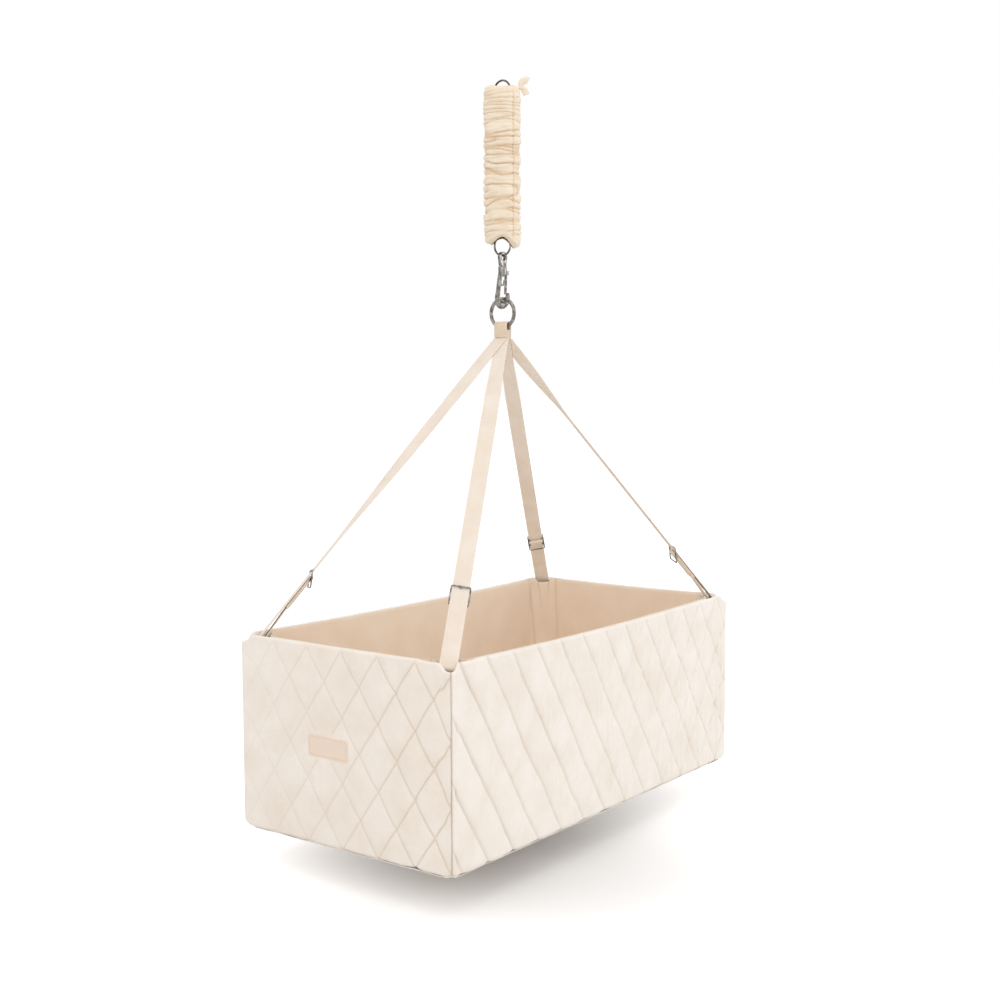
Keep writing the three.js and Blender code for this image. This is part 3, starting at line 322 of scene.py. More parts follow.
def steelMaterial():
    # Nickel-plated steel, tumbled and not buffed: grey, softly glossy, with fine handling marks; its colour
    # is mottled in broad dark and light patches of painted reflection
    values = {"colour": "#A39F99", "dark": "#6C6863", "roughness": 0.2, "markSize": 0.9}
    material, tree, shader = startMaterial("nickelPlatedSteel", {"Metallic": 1})
    spot = addNode(tree, "ShaderNodeTexCoord", {})
    marks = addNode(tree, "ShaderNodeTexNoise", {"Scale": 1 / (values["markSize"] * mm), "Detail": 5},
                    {"Vector": spot.outputs["Object"]})
    gloss = addNode(tree, "ShaderNodeMapRange",
                    {"To Min": values["roughness"] - 0.06, "To Max": values["roughness"] + 0.1},
                    {"Value": marks.outputs["Fac"]})
    # painted reflection: broad patches, dark to light, stand for what the shiny steel reflects
    reflectionMottle = addNode(tree, "ShaderNodeTexNoise", {"Scale": 0.12 / (values["markSize"] * mm), "Detail": 2},
                    {"Vector": spot.outputs["Object"]})
    tint = addNode(tree, "ShaderNodeValToRGB", {}, {"Fac": reflectionMottle.outputs["Fac"]})
    tint.color_ramp.elements[0].color = linear(values["dark"])
    tint.color_ramp.elements[1].color = linear(values["colour"])
    tint.color_ramp.elements[0].position = 0.4
    tint.color_ramp.elements[1].position = 0.6
    bump = addNode(tree, "ShaderNodeBump", {"Strength": 0.2, "Distance": 0.05 * mm},
                   {"Height": marks.outputs["Fac"]})
    tree.links.new(tint.outputs["Color"], shader.inputs["Base Color"])
    tree.links.new(gloss.outputs["Result"], shader.inputs["Roughness"])
    tree.links.new(bump.outputs[0], shader.inputs["Normal"])
    return material


def grainedMaterial(name, values):
    # Leather has a pebbled grain, and board has long pressed fibres: one grain, stretched or not
    material, tree, shader = startMaterial(name, {"Roughness": values["roughness"]})
    spot = addNode(tree, "ShaderNodeTexCoord", {})
    stretch = addNode(tree, "ShaderNodeMapping", {"Scale": values["stretch"]},
                      {"Vector": spot.outputs["Object"]})
    grain = addNode(tree, "ShaderNodeTexNoise", {"Scale": 1 / (values["grainSize"] * mm), "Detail": 6},
                    {"Vector": stretch.outputs[0]})
    cells = addNode(tree, "ShaderNodeTexVoronoi", {"Scale": 1 / (values["grainSize"] * mm)},
                    {"Vector": stretch.outputs[0]})
    tint = addNode(tree, "ShaderNodeValToRGB", {}, {"Fac": grain.outputs["Fac"]})
    tint.color_ramp.elements[0].color = linear(values["shade"])
    tint.color_ramp.elements[1].color = linear(values["colour"])
    tint.color_ramp.elements[0].position = 0.3
    tint.color_ramp.elements[1].position = 0.7
    bump = addNode(tree, "ShaderNodeBump", {"Strength": 0.4, "Distance": values["grainDepth"] * mm},
                   {"Height": cells.outputs["Distance"]})
    tree.links.new(tint.outputs["Color"], shader.inputs["Base Color"])
    tree.links.new(bump.outputs[0], shader.inputs["Normal"])
    return material


steel = steelMaterial()
# smooth calf leather, soft and matt, with a fine pebble
leather = grainedMaterial("nappaLeather", {
    "colour": "#F3E2D2", "shade": "#EBD8C6", "roughness": 0.6, "grainSize": 0.8,
    "grainDepth": 0.12, "stretch": (1, 1, 1),
})
# hardboard: brown pressed fibre, dull, with its fibres along one way
hardboard = grainedMaterial("hardboard", {
    "colour": "#C9AB80", "shade": "#B4946A", "roughness": 0.75, "grainSize": 1.5,
    "grainDepth": 0.1, "stretch": (0.15, 1, 1),
})
# cotton batting: loose and fluffy, with no weave to see
batting = cotton("cottonBatting", {
    "colour": "#F4EFE6", "shade": "#EAE3D7", "yarnSpacing": 3, "yarnRelief": 0.02, "slubWidth": 3,
    "mottleSize": 12, "creaseSize": 4, "creaseDepth": 1.2, "bloom": 0.4, "pattern": "Object",
})
print("materials made:", len(bpy.data.materials))

# the frame's own solids wear the same materials, since some of them show
for name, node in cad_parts.items():
    material = steel
    if name.startswith(("outer_panel", "bottom", "mattress")):
        material = cloth["quiltedCalico"]
    elif name.startswith(("strap", "anchor_webbing", "ring_tab")):
        material = cloth["strapCotton"]
    elif name.startswith(("spring_sleeve", "sleeve_tie")):
        material = cloth["sleeveMuslin"]
    elif name.startswith("wall_core"):
        material = batting
    elif name == "inner_lining":
        material = cloth["liningCalico"]
    elif name == "base_board":
        material = hardboard
    elif name == "label_patch":
        material = leather
    paint(node, material)


# The quilted walls: calico over batting, sewn in diamonds, one padded piece a side

quilt = {
    "down": 3, "cells": 24, "rollRadius": 3.5, "rimThickness": 12.2, "pocketThickness": 6.8,
    "pocketReach": 58, "pocketFade": (8, 14), "lipDrop": 0.8, "innerGap": 12, "baseGap": 3.3,
    "scoopDepth": 10, "scoopFlat": 12, "scoopReach": 26, "scoopPoint": 1.5,
    "wobble": 2.5, "footRise": 6, "footReach": 16, "footTuck": 2.2, "footWave": 0.8, "cornerRadius": 6,
    "seamGroove": 1.3, "seamWidth": 1.0, "creaseWidth": 2.4, "threadWidth": 1.1, "pucker": 0.35,
    "swell": 0.54, "smallSwell": 0.18, "gather": 1.8, "cornerGather": 1.8, "hemGather": 0.5,
    "labelOffset": 26, "labelDrop": 148, "labelHalf": (39, 16.5), "labelDepth": 1.6,
}
walls = {
    # turns, half run, half depth, diamonds along, where the falling and the rising seams start (in
    # diamonds), rim sag, then at the left end and at the right end:
    # the depth of the seams that fall to the right and of those that rise, the fine ripples, how
    # crisp the seams are, and how far the puffs lean over the falling seams (1 is upright)
    "front": {"turns": 0, "run": halfLength, "out": halfWidth, "diamonds": 13, "start": (14 / 24, -7 / 24),
              "sag": 6, "falling": (6, 2.2), "rising": (0.6, 2), "ripple": (0.5, 2.6),
              "crisp": (0.4, 0.7), "lean": (0.66, 1)},
    "right": {"turns": 1, "run": halfWidth, "out": halfLength, "diamonds": 6, "start": (0, 0), "sag": 2,
              "falling": (1.9, 1.9), "rising": (1.9, 1.9), "ripple": (0.3, 0.3),
              "crisp": (0.8, 0.8), "lean": (1, 1)},
    "back": {"turns": 2, "run": halfLength, "out": halfWidth, "diamonds": 13, "start": (0, 0), "sag": 4,
             "falling": (1.9, 2.1), "rising": (2.0, 1.8), "ripple": (0.4, 0.4),
             "crisp": (0.8, 0.8), "lean": (1, 1)},
    "left": {"turns": 3, "run": halfWidth, "out": halfLength, "diamonds": 6, "start": (0, 0), "sag": 1,
             "falling": (1.2, 4), "rising": (1.6, 4.2), "ripple": (0.6, 0.4),
             "crisp": (0.15, 1.0), "lean": (1, 1)},
}


def rimSag(side, share):
    return walls[side]["sag"] * (1 - (2 * share - 1) ** 2) ** 1.2


def rimDip(fromEnd):
    # a U-shaped dip in the rim at each corner, a little deeper at the corner's seam
    dip = quilt["scoopDepth"] * (1 - smoothShare(fromEnd, quilt["scoopFlat"], quilt["scoopReach"]))
    return dip + quilt["scoopPoint"] * max(0, 1 - fromEnd / quilt["scoopFlat"])


def seamCut(phase, crisp=1.0, lean=1.0):
    # how deep a seam draws the cloth in, a crisp crease in a broad soft valley, and how far off it is
    wave = abs(math.sin(math.pi * (phase % 1) ** lean))
    distance = math.asin(min(wave, 1)) / math.pi * 55
    crease = 0.45 * crisp * math.exp(-distance / quilt["creaseWidth"])
    return crease + 0.55 * (1 - wave) ** 1.6, distance


def quiltedWall(side):
    wall = walls[side]
    run, out = wall["run"] / mm, wall["out"] / mm
    height = basketHeight / mm - quilt["baseGap"]
    faceRows = quilt["down"] * quilt["cells"]
    rollRows, lipRows, innerRows, footRows = 6, 3, 12, 5
    rows = faceRows + rollRows + lipRows + innerRows + footRows
    columns = wall["diamonds"] * quilt["cells"]
    roll, thin = quilt["rollRadius"], quilt["pocketThickness"]
    turn = Matrix.Rotation(wall["turns"] * math.pi / 2, 3, "Z")
    seed = 10 * wall["turns"]
    seamShadeAt = []

    def surface(share, down, fromEnd):
        # how far the cloth lies behind the wall's crown, in mm, and how much of the seam's painted shade
        # shows
        fall, rise, ripple, crisp, lean = (
            wall[key][0] + (wall[key][1] - wall[key][0]) * share
            for key in ("falling", "rising", "ripple", "crisp", "lean"))
        along = share * wall["diamonds"]
        fallCut, fallDistance = seamCut(along - down * quilt["down"] + wall["start"][0], crisp, lean)
        riseCut, riseDistance = seamCut(along + down * quilt["down"] + wall["start"][1], crisp)
        s, t = share * run * 2, down * height
        fullness = 1 + 0.5 * rippled(along * 0.7, down * 2.2, seed)
        depth = fall * fullness * fallCut + rise * fullness * riseCut
        depth *= 0.6 + 0.4 * smoothShare(height - t, 0, 25)
        near = min(fallDistance, riseDistance)
        depth += quilt["pucker"] * math.exp(-near / 7) * rippled(s / 4.5, t / 4.5, seed + 3)
        depth += quilt["swell"] * rippled(s / 70, t / 90, seed + 5)
        depth += quilt["smallSwell"] * rippled(s / 17, t / 24, seed + 7)
        # gathers hang from the rim, most of all by the corners, and a few stand at the hem
        gathers = quilt["gather"] + quilt["cornerGather"] * math.exp(-fromEnd / 40)
        gathers *= math.exp(-t / 18) * smoothShare(t, 0, 5)
        depth += gathers * rippled(s / 6.5, t / 70, seed + 9)
        depth += quilt["hemGather"] * math.exp(-(height - t) / 14) * rippled(s / 9, t / 50, seed + 11)
        depth += ripple * rippled(s / 9, t / 95, seed + 13) * (1 - math.exp(-t / 20))
        corner = max(quilt["cornerRadius"] - fromEnd, 0)
        depth = depth * smoothShare(fromEnd, -2, 14) + corner * corner / (3.4 * quilt["cornerRadius"])
        if fromEnd < quilt["seamWidth"]:
            depth += quilt["seamGroove"]
        # the seam's darker tint is painted shade in the stitched crease, strongest where the seam is crisp
        # and on the deeper family of seams
        weaker = min(1, rise / fall)
        onFalling = fallDistance <= riseDistance * (0.4 + 0.6 * weaker)
        shown = fallDistance if onFalling else riseDistance
        thread = max(0, 1 - shown / quilt["threadWidth"]) * crisp * (1 if onFalling else weaker)
        return depth, thread

    def place(u, v):
        q = v * rows
        fromEnd = min(u, 1 - u) * run * 2
        if fromEnd < 3:  # the columns beside a corner close up into the seam's groove
            fromEnd *= 0.5
        reach, (before, after) = quilt["pocketReach"], quilt["pocketFade"]
        pocket = 1 - smoothShare(fromEnd, reach - before, reach + after)
        inner = quilt["rimThickness"] - (quilt["rimThickness"] - thin) * pocket
        seam = wobble = 0
        onFace = q <= faceRows
        if onFace:
            down = 1 - q / faceRows
            t = roll + (height - roll - 2) * down
            # the seams aren't sewn quite straight
            wobble = quilt["wobble"] * rippled(u * run / 32, down * 5, seed + 15)
            wobble *= smoothShare(fromEnd, 0, 60) * smoothShare(min(t, height - t), 0, 40)
            depth, seam = surface(u, down, fromEnd)
            if t > height - 7:  # the foot of the face turns under
                depth += ((t - height + 7) / 5) ** 2 * quilt["footTuck"]
        else:
            # over the rim, across its lip, down the inner face and back out at the foot
            faceDepth, _ = surface(u, 0, fromEnd)
            innerEnd = quilt["lipDrop"] + height - quilt["innerGap"]
            q -= faceRows
            if q <= rollRows:
                angle = q / rollRows * math.pi / 2
                depth = faceDepth + roll - roll * math.cos(angle)
                t = roll - roll * math.sin(angle)
            elif q <= rollRows + lipRows:
                share = (q - rollRows) / lipRows
                depth = (faceDepth + roll) * (1 - share) + inner * share
                t = quilt["lipDrop"] * share * share
            elif q <= rollRows + lipRows + innerRows:
                share = (q - rollRows - lipRows) / innerRows
                depth = inner
                t = quilt["lipDrop"] + (height - quilt["innerGap"]) * share
            else:
                share = (q - rollRows - lipRows - innerRows) / footRows
                if share <= 0.4:
                    depth = inner + (thin - inner) * share / 0.4
                    t = innerEnd
                elif share <= 0.7:
                    depth = thin
                    t = innerEnd + (height - innerEnd) * (share - 0.4) / 0.3
                else:
                    footDepth, seam = surface(u, 1, fromEnd)
                    depth = thin + (footDepth + quilt["footTuck"] - thin) * (share - 0.7) / 0.3
                    t = height - 2 * (share - 0.7) / 0.3
        topZ = -rimDip(fromEnd) - rimSag(side, u)
        footShare = min(fromEnd / quilt["footReach"], 1)
        footZ = -height + quilt["footRise"] * (1 - footShare) ** 2
        footZ += quilt["footWave"] * rippled(u * run / 14, 3.3, seed)
        z = topZ + (footZ - topZ) * (t / height)
        if side == "left" and onFace:
            # the quilting is pressed flat under the label
            awayY = abs(run * (2 * u - 1) + quilt["labelOffset"]) - quilt["labelHalf"][0]
            awayZ = abs(z + quilt["labelDrop"]) - quilt["labelHalf"][1]
            press = 1 - smoothShare(max(awayY, awayZ), 0, 7)
            depth += (quilt["labelDepth"] - depth) * press
            seam *= 1 - press
        # two walls meet at a mitre, so near a corner the cloth also draws back along the wall
        drawn = (depth + 0.12) * (1 - smoothShare(fromEnd, 3, 18))
        along = math.copysign(run - fromEnd - drawn, u - 0.5) + wobble
        seamShadeAt.append(max(seam, 0))
        return turn @ Vector((along, -out + depth, z)) * mm + Vector((0, 0, rim))

    piece = placedGrid("quilted_wall_" + side, columns, rows, place,
                       (run * 2 * mm, rows / faceRows * height * mm), poked=True)
    markThreadAndShade(piece, seamShadeAt)
    closeShell(piece)
    nodes = ["outer_panel_" + side, "wall_core_" + side]
    finishPiece(piece, cloth["quiltedCalico"], "basket", nodes)


for side in walls:
    quiltedWall(side)
print("walls quilted")


# The underside: one more quilted panel, its edge sewn to the walls' feet

underside = {
    "columns": 150, "rows": 84, "thickness": 1.2, "relief": 1.4, "sag": 0.4, "inset": 3.5,
    "diamonds": (11, 6), "edge": 5, "edgeLift": 2.6, "corner": 16, "cornerLift": 6,
}


def undersidePlace(u, v):
    long, wide = halfLength / mm, halfWidth / mm
    x, y = (2 * u - 1) * (long - underside["inset"]), (2 * v - 1) * (wide - underside["inset"])
    fromSide = min(u, 1 - u) * long * 2, min(v, 1 - v) * wide * 2
    cut = underside["corner"] - fromSide[0] - fromSide[1]
    if cut > 0:  # rounds the panel's corners
        x -= math.copysign(cut / 2, x)
        y -= math.copysign(cut / 2, y)
    along, over = underside["diamonds"]
    fallCut, _ = seamCut(u * along - v * over)
    riseCut, _ = seamCut(u * along + v * over)
    depth = underside["relief"] * (fallCut + riseCut) * 0.5 + underside["sag"] * rippled(x / 60, y / 60, 4)
    lift = underside["edgeLift"] * max(0, 1 - min(fromSide) / underside["edge"]) ** 2
    if max(fromSide) < underside["corner"]:
        lift += underside["cornerLift"] * (1 - max(fromSide) / underside["corner"]) ** 2
    return Vector((x, y, 0.4 + depth + lift)) * mm + Vector((0, 0, base))


bottom = placedGrid("quilted_underside", underside["columns"], underside["rows"], undersidePlace,
                    (halfLength * 2, halfWidth * 2))
thicken(bottom, -underside["thickness"])
finishPiece(bottom, cloth["quiltedCalico"], "basket", ["bottom_panel"])


# The lining: a sewn tub of single cloth, bridged across the strap pockets in the corners

lining = {
    "inset": 14.2, "leg": 37, "rows": 56, "floorRows": 14, "depth": 284.5, "fillet": 10,
    "scoopDepth": 6, "scoopHalf": 13.5, "thickness": 0.9, "topGap": 0.6,
    "sidePoints": (84, 44), "cornerPoints": 30,
    # corner pleats: where each starts and how it leans, as shares of the corner's width, how deep and
    # how wide it is, and how soon it fades
    "pleats": ((1.02, -0.5, 5, 2.6, 1.6), (0.06, -0.15, 4, 3, 2.5), (0.7, -0.8, 2, 2, 10),
               (0.3, 0.4, 1.5, 2, 14)),
    # wall creases: how far from the corner each starts and how it leans, how deep and how wide it
    # is, and how far down it runs
    "creases": ((12, 0.22, 2.2, 5, 90), (34, 0.1, 1.0, 8, 70)),
}


def liningOutline():
    # the plan walked once round: x, y, the outward way, the side or corner, and the share along it
    a, b = halfLength / mm - lining["inset"], halfWidth / mm - lining["inset"]
    leg = lining["leg"]
    stops = [(-a + leg, -b), (a - leg, -b), (a, -b + leg), (a, b - leg),
             (a - leg, b), (-a + leg, b), (-a, b - leg), (-a, -b + leg)]
    names = ["front", "front_right", "right", "back_right", "back", "back_left", "left", "front_left"]
    points = []
    for k, name in enumerate(names):
        start, end = Vector(stops[k]), Vector(stops[(k + 1) % 8])
        way = (end - start).normalized()
        isCorner = k % 2 == 1
        count = lining["cornerPoints"] if isCorner else lining["sidePoints"][(k // 2) % 2]
        for i in range(count):
            share = i / count
            outward = Vector((way.y, -way.x))
            points.append((start.lerp(end, share), outward, name, share, (end - start).length))
    return points


outline = liningOutline()
pleatShadeAt = []


def liningPlace(u, v):
    count = len(outline)
    spot, outward, name, share, length = outline[round(u * count) % count]
    q = round(v * (lining["rows"] + lining["floorRows"]))
    corner = name not in walls
    fromFold = min(share, 1 - share) * length
    topZ = -lining["topGap"]
    if corner:
        away = abs(share - 0.5) * length / lining["scoopHalf"]
        topZ -= lining["scoopDepth"] * max(0, 1 - away ** 4) ** 0.5
    else:
        beside = lining["leg"] + lining["inset"]
        topZ -= rimSag(name, (share * length + beside) / (length + 2 * beside))
    if q > lining["rows"]:
        pull = (q - lining["rows"]) / lining["floorRows"]
        flat = spot * (1 - pull)
        lift = 0.8 * rippled(flat.x / 60, flat.y / 60, 8)
        pleatShadeAt.append(0)
        return Vector((flat.x, flat.y, -lining["depth"] + 0.8 + lift * pull)) * mm + Vector((0, 0, rim))
    down = q / lining["rows"]
    t = lining["depth"] * down
    z = topZ + (-lining["depth"] - topZ) * down
    fade = math.sin(math.pi * min(down * 1.06, 1)) ** 0.6
    way = sum(ord(letter) for letter in name)
    bulge = 1.6 * rippled(spot.x / 85, t / 120, way + spot.y / 85)
    bulge += 0.5 * rippled(spot.x / 22, t / 60, way + spot.y / 22)
    shown = 0
    if corner:
        # sharp pleats run down from the strap's foot
        for centre, lean, deep, wide, fading in lining["pleats"]:
            gap = (share - centre - lean * down) * length
            left = math.exp(-down * fading)
            bulge -= deep * math.exp(-(gap / wide) ** 2) * left
            # painted shade: each pleat's crease is tinted warm brown where it is deep
            shown = max(shown, 0.5 * math.exp(-(gap / 1.3) ** 2) * left)
    else:
        # cloth drawn towards the corner folds leaves slanting creases
        for start, lean, deep, wide, long in lining["creases"]:
            gap = fromFold - start - t * lean
            bulge -= deep * math.exp(-(gap / wide) ** 2) * math.exp(-t / long)
    pleatShadeAt.append(shown)
    foot = max(0, t - (lining["depth"] - lining["fillet"])) / lining["fillet"]
    inward = lining["fillet"] * 0.6 * foot * foot
    lies = spot - outward * (-bulge * fade * 0.8 + inward + 0.4)
    return Vector((lies.x, lies.y, z)) * mm + Vector((0, 0, rim))


tub = placedGrid("lining_tub", len(outline), lining["rows"] + lining["floorRows"], liningPlace,
                 (4 * (halfLength + halfWidth), 0.45))
markThreadAndShade(tub, pleatShadeAt)
closeShell(tub, capped=False)
thicken(tub, lining["thickness"], offset=0)
finishPiece(tub, cloth["liningCalico"], "basket", ["inner_lining"])
print("lining sewn")


# The mattress: a soft pad, swollen by simulation, with rows of stitching across it

mattress = {
    "inset": 22, "height": 34, "voxel": 6, "pressure": 4, "frames": 20, "cap": 9,
    "channels": 5, "channelDepth": 2.6, "channelWidth": 6, "threadWidth": 1.6, "cornerCut": 30,
}


def swell(piece, values):
    # blows the pad up like a cushion, but lets no point move further than the cap
    before = [v.co.copy() for v in piece.data.vertices]
    clothing = piece.modifiers.new("swell", "CLOTH")
    clothing.settings.use_pressure = True
    clothing.settings.uniform_pressure_force = values["pressure"]
    clothing.settings.effector_weights.gravity = 0
    clothing.settings.quality = 5
    scene = bpy.context.scene
    for step in range(1, values["frames"] + 1):
        scene.frame_set(step)
    applyAll(piece)
    scene.frame_set(1)
    for vertex, place in zip(piece.data.vertices, before):
        move = vertex.co - place
        if move.length > values["cap"] * mm:
            vertex.co = place + move.normalized() * values["cap"] * mm


def mattressPad():
    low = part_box("mattress")[0].z + 0.5 * mm
    inset = mattress["inset"] * mm
    half = Vector((halfLength - inset, halfWidth - inset, mattress["height"] / 2 * mm))
    pad = roundedBlock("mattress_pad", half * 2, 2, mattress["cornerCut"], 5)
    for vertex in pad.data.vertices:
        vertex.co.z += low + half.z
    remesh = pad.modifiers.new("remesh", "REMESH")
    remesh.mode = "VOXEL"
    remesh.voxel_size = mattress["voxel"] * mm
    applyAll(pad)
    swell(pad, mattress)
    finer = pad.modifiers.new("finer", "SUBSURF")
    finer.levels = finer.render_levels = 1
    applyAll(pad)
    seam = []
    spacing = 2 * half.x / (mattress["channels"] + 1)
    for vertex in pad.data.vertices:
        x, _, z = vertex.co
        line = round((x + half.x) / spacing) * spacing - half.x
        away = abs(x - line) / mm
        isInner = abs(abs(line) - half.x) > mm
        top = smoothShare(z - low, half.z, half.z * 1.7) if isInner else 0
        channel = math.exp(-(away / mattress["channelWidth"]) ** 1.2)
        vertex.co.z = max(vertex.co.z - mattress["channelDepth"] * mm * channel * top, low)
        seam.append(max(0, 1 - away / mattress["threadWidth"]) * top)
    markThreadAndShade(pad, seam)
    pick(pad)
    bpy.ops.object.shade_smooth()
    finishPiece(pad, cloth["mattressTicking"], "basket", ["mattress"])


mattressPad()
print("mattress swollen")


# The straps: folded cotton bands, edge-stitched, each round its own buried ring

strap = {
    "width": 25, "thickness": 1.5, "pitch": 2.2, "endNarrower": 0.6, "stitchInset": 1.7,
    "anchorDrop": 8, "endInset": 18.2, "sideInset": 20.2, "anchorWrap": 3.55, "tabRun": 2,
    "middleBar": 119.05, "middleFace": -4.05, "fold": 58, "slack": 8, "endDrop": 6,
    "foldTaper": 10, "foldWrap": 2.25, "foldClosed": 1.56, "step": 1.6,
    "runStations": 60, "wrapStations": 12, "foldStations": 10,
}
corners = {
    # the corner's signs, its place in the stack under the tab, and where it twists
    "front_left": {"x": -1, "y": -1, "stack": -1, "twist": (0.07, 0.35)},
    "back_left": {"x": -1, "y": 1, "stack": -3, "twist": (0.3, 0.77)},
    "back_right": {"x": 1, "y": 1, "stack": 1, "twist": (0.07, 0.35)},
    "front_right": {"x": 1, "y": -1, "stack": 3, "twist": (0.07, 0.3)},
}
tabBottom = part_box("ring_tab")[0].z


def strapAcross(x, y, share, along):
    angle = math.pi / 4 * share
    way = Vector((-x * y * math.sin(angle), math.cos(angle), 0))
    return (way - along * way.dot(along)).normalized()


def strapFrame(corner):
    x, y = corner["x"], corner["y"]
    leave = Vector((corner["stack"] * strap["pitch"] / 2 * mm, 0, tabBottom - 0.3 * mm))
    foot = Vector((x * (halfLength - strap["endInset"] * mm), y * (halfWidth - strap["sideInset"] * mm),
                   rim - strap["anchorDrop"] * mm))
    along = (foot - leave).normalized()
    across = strapAcross(x, y, 1, along)
    face = across.cross(along) * -x
    return leave, foot, along, across, face


def bandRings(stations, width, thickness):
    # a band's section: thin stitched edges, a groove where the stitches bite, a fuller middle
    half, stitch = width / 2, strap["stitchInset"]
    left = [(-half, 0.1), (-half + 0.25, 0.75), (-half + 1, 0.95), (-half + stitch, 0.55),
            (-half + stitch + 0.7, 0.9), (-half * 0.4, 1)]
    row = left + [(-a, t) for a, t in reversed(left)]
    section = [(a, t * thickness / 2) for a, t in row] + [(a, -t * thickness / 2) for a, t in reversed(row)]
    rings = [[centre + across * (a * mm) + face * (t * mm) for a, t in section]
             for centre, across, face in stations]
    return rings, [a * mm for a, _ in section]


def stationsAlong(path, across):
    # a band that follows a path with its width always one way
    stations = []
    for i, centre in enumerate(path):
        way = (path[min(i + 1, len(path) - 1)] - path[max(i - 1, 0)]).normalized()
        stations.append((centre, across, way.cross(across).normalized()))
    return stations


def evenStations(stations, step):
    # the same band with stations at even steps, so that stitches keep their length
    lengths = [0]
    for (a, _, _), (b, _, _) in zip(stations, stations[1:]):
        lengths.append(lengths[-1] + (b - a).length)
    count = max(2, round(lengths[-1] / (step * mm)))
    made, k = [], 0
    for i in range(count + 1):
        at = lengths[-1] * i / count
        while k < len(lengths) - 2 and lengths[k + 1] < at:
            k += 1
        share = (at - lengths[k]) / max(lengths[k + 1] - lengths[k], 1e-9)
        here, there = stations[k], stations[k + 1]
        across = here[1].lerp(there[1], share).normalized()
        face = here[2].lerp(there[2], share)
        face = (face - across * face.dot(across)).normalized()
        made.append((here[0].lerp(there[0], share), across, face))
    return made


def bandPiece(name, stations, width, thickness, step, material, body, nodes):
    stations = evenStations(stations, step)
    rings, across = bandRings(stations, width, thickness)
    piece = sweptPiece(name, rings, across, step * mm)
    seam = [0] * len(piece.data.vertices)
    lines = (width / 2 - strap["stitchInset"]) * mm
    for loop, spot in zip(piece.data.loops, piece.data.uv_layers.active.data):
        if abs(abs(spot.uv.x) - lines) < 0.1 * mm:
            seam[loop.vertex_index] = 1
    markThreadAndShade(piece, seam)
    pick(piece)
    bpy.ops.object.shade_smooth_by_angle(angle=math.radians(60))
    finishPiece(piece, material, body, nodes)


def strapStations(corner):
    # down from the tab, round the buried ring, and back up behind to the slider
    leave, foot, along, across, face = strapFrame(corner)
    x, y = corner["x"], corner["y"]
    acrossY = Vector((0, 1, 0))

    def place(distance, height):
        return foot - along * (distance * mm) + face * (height * mm)

    stations = []

    def add(centre, wide, way):
        stations.append((centre, wide, way.cross(wide).normalized()))

    tabTop = Vector((leave.x, 0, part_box("load_ring")[0].z - strap["thickness"] / 2 * mm))
    add(tabTop, acrossY, -up)
    add(leave + up * strap["tabRun"] * mm, acrossY, -up)
    add(leave, acrossY, -up + along)
    run = (foot - leave).length
    for i in range(1, strap["runStations"] + 1):
        share = i / strap["runStations"]
        twist = smoothShare(share, *corner["twist"])
        add(leave + along * run * share, strapAcross(x, y, twist, along), along)
    wrap = strap["anchorWrap"]
    for i in range(1, strap["wrapStations"]):
        angle = math.pi * i / strap["wrapStations"]
        centre = place(-wrap * math.sin(angle), wrap * math.cos(angle) - wrap)
        add(centre, across, along * math.cos(angle) - face * math.sin(angle))
    add(place(0, -2 * wrap), across, -along)
    middle, middleFace = strap["middleBar"], strap["middleFace"]
    add(place(middle - strap["fold"] - strap["slack"], middleFace), across, -along)
    add(place(middle - strap["endDrop"], middleFace), across, -along)
    return stations


def endStations(corner):
    # the sewn end: both its layers lie flat on the strap, and its fold goes round the slider's bar
    _, foot, along, across, face = strapFrame(corner)
    middle, middleFace = strap["middleBar"], strap["middleFace"]

    def at(below, height):
        return foot - along * ((middle - below) * mm) + face * ((middleFace + height) * mm)

    wrap, closed = strap["foldWrap"], strap["foldClosed"]
    path = [at(strap["fold"], closed), at(strap["foldTaper"], closed), at(0, wrap)]
    for i in range(1, strap["foldStations"]):
        angle = math.pi * i / strap["foldStations"]
        path.append(at(-wrap * math.sin(angle), wrap * math.cos(angle)))
    path += [at(0, -wrap), at(strap["foldTaper"], -closed), at(strap["fold"], -closed)]
    return stationsAlong(path, across)


for name, corner in corners.items():
    bandPiece("band_" + name, strapStations(corner), strap["width"], strap["thickness"], strap["step"],
              cloth["strapCotton"], "basket", ["strap_" + name])
    bandPiece("band_end_" + name, endStations(corner), strap["width"] - strap["endNarrower"],
              strap["thickness"], strap["step"], cloth["strapCotton"], "slider_" + name,
              ["strap_end_" + name])

tab = {"width": 25, "thickness": 1.8, "middle": 5.5, "bendStations": 16, "step": 1.2}


def tabStations():
    # up one side, over the ring and down the other
    middle = tab["middle"] * mm
    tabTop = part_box("ring_tab")[1].z - (tab["middle"] + tab["thickness"] / 2) * mm
    path = [Vector((-middle, 0, tabBottom)), Vector((-middle, 0, tabTop - 2 * mm))]
    for i in range(tab["bendStations"] + 1):
        angle = math.pi * (1 - i / tab["bendStations"])
        path.append(Vector((middle * math.cos(angle), 0, middle * math.sin(angle) + tabTop)))
    path += [Vector((middle, 0, tabTop - 2 * mm)), Vector((middle, 0, tabBottom))]
    return stationsAlong(path, Vector((0, 1, 0)))


bandPiece("tab_band", tabStations(), tab["width"], tab["thickness"], tab["step"],
          cloth["tabCotton"], "basket", ["ring_tab"])
print("straps sewn")


# The gathered sleeve over the spring

sleeve = {
    "radius": 30, "mouth": 18.2, "neck": 26.5, "topZ": -5.4, "bottomZ": -254.5, "lobe": 6, "arch": 11,
    "around": 130, "rows": 280, "thickness": 0.8, "gather": 3.9, "puff": 9.5, "unevenness": 1.1,
    "seamAngle": -106, "tieAngle": -52.9, "frontAngle": -143, "frontDip": 5,
    "seamGroove": 1.3, "grooveWidth": 2.4, "seamPucker": 1.1, "puckerAngle": 13, "puckerWidth": 12,
    "hemPleats": 11, "hemPleatDepth": 0.9, "hem": 4.5, "hemFade": (2, 16),
}
foldShadeAt = []


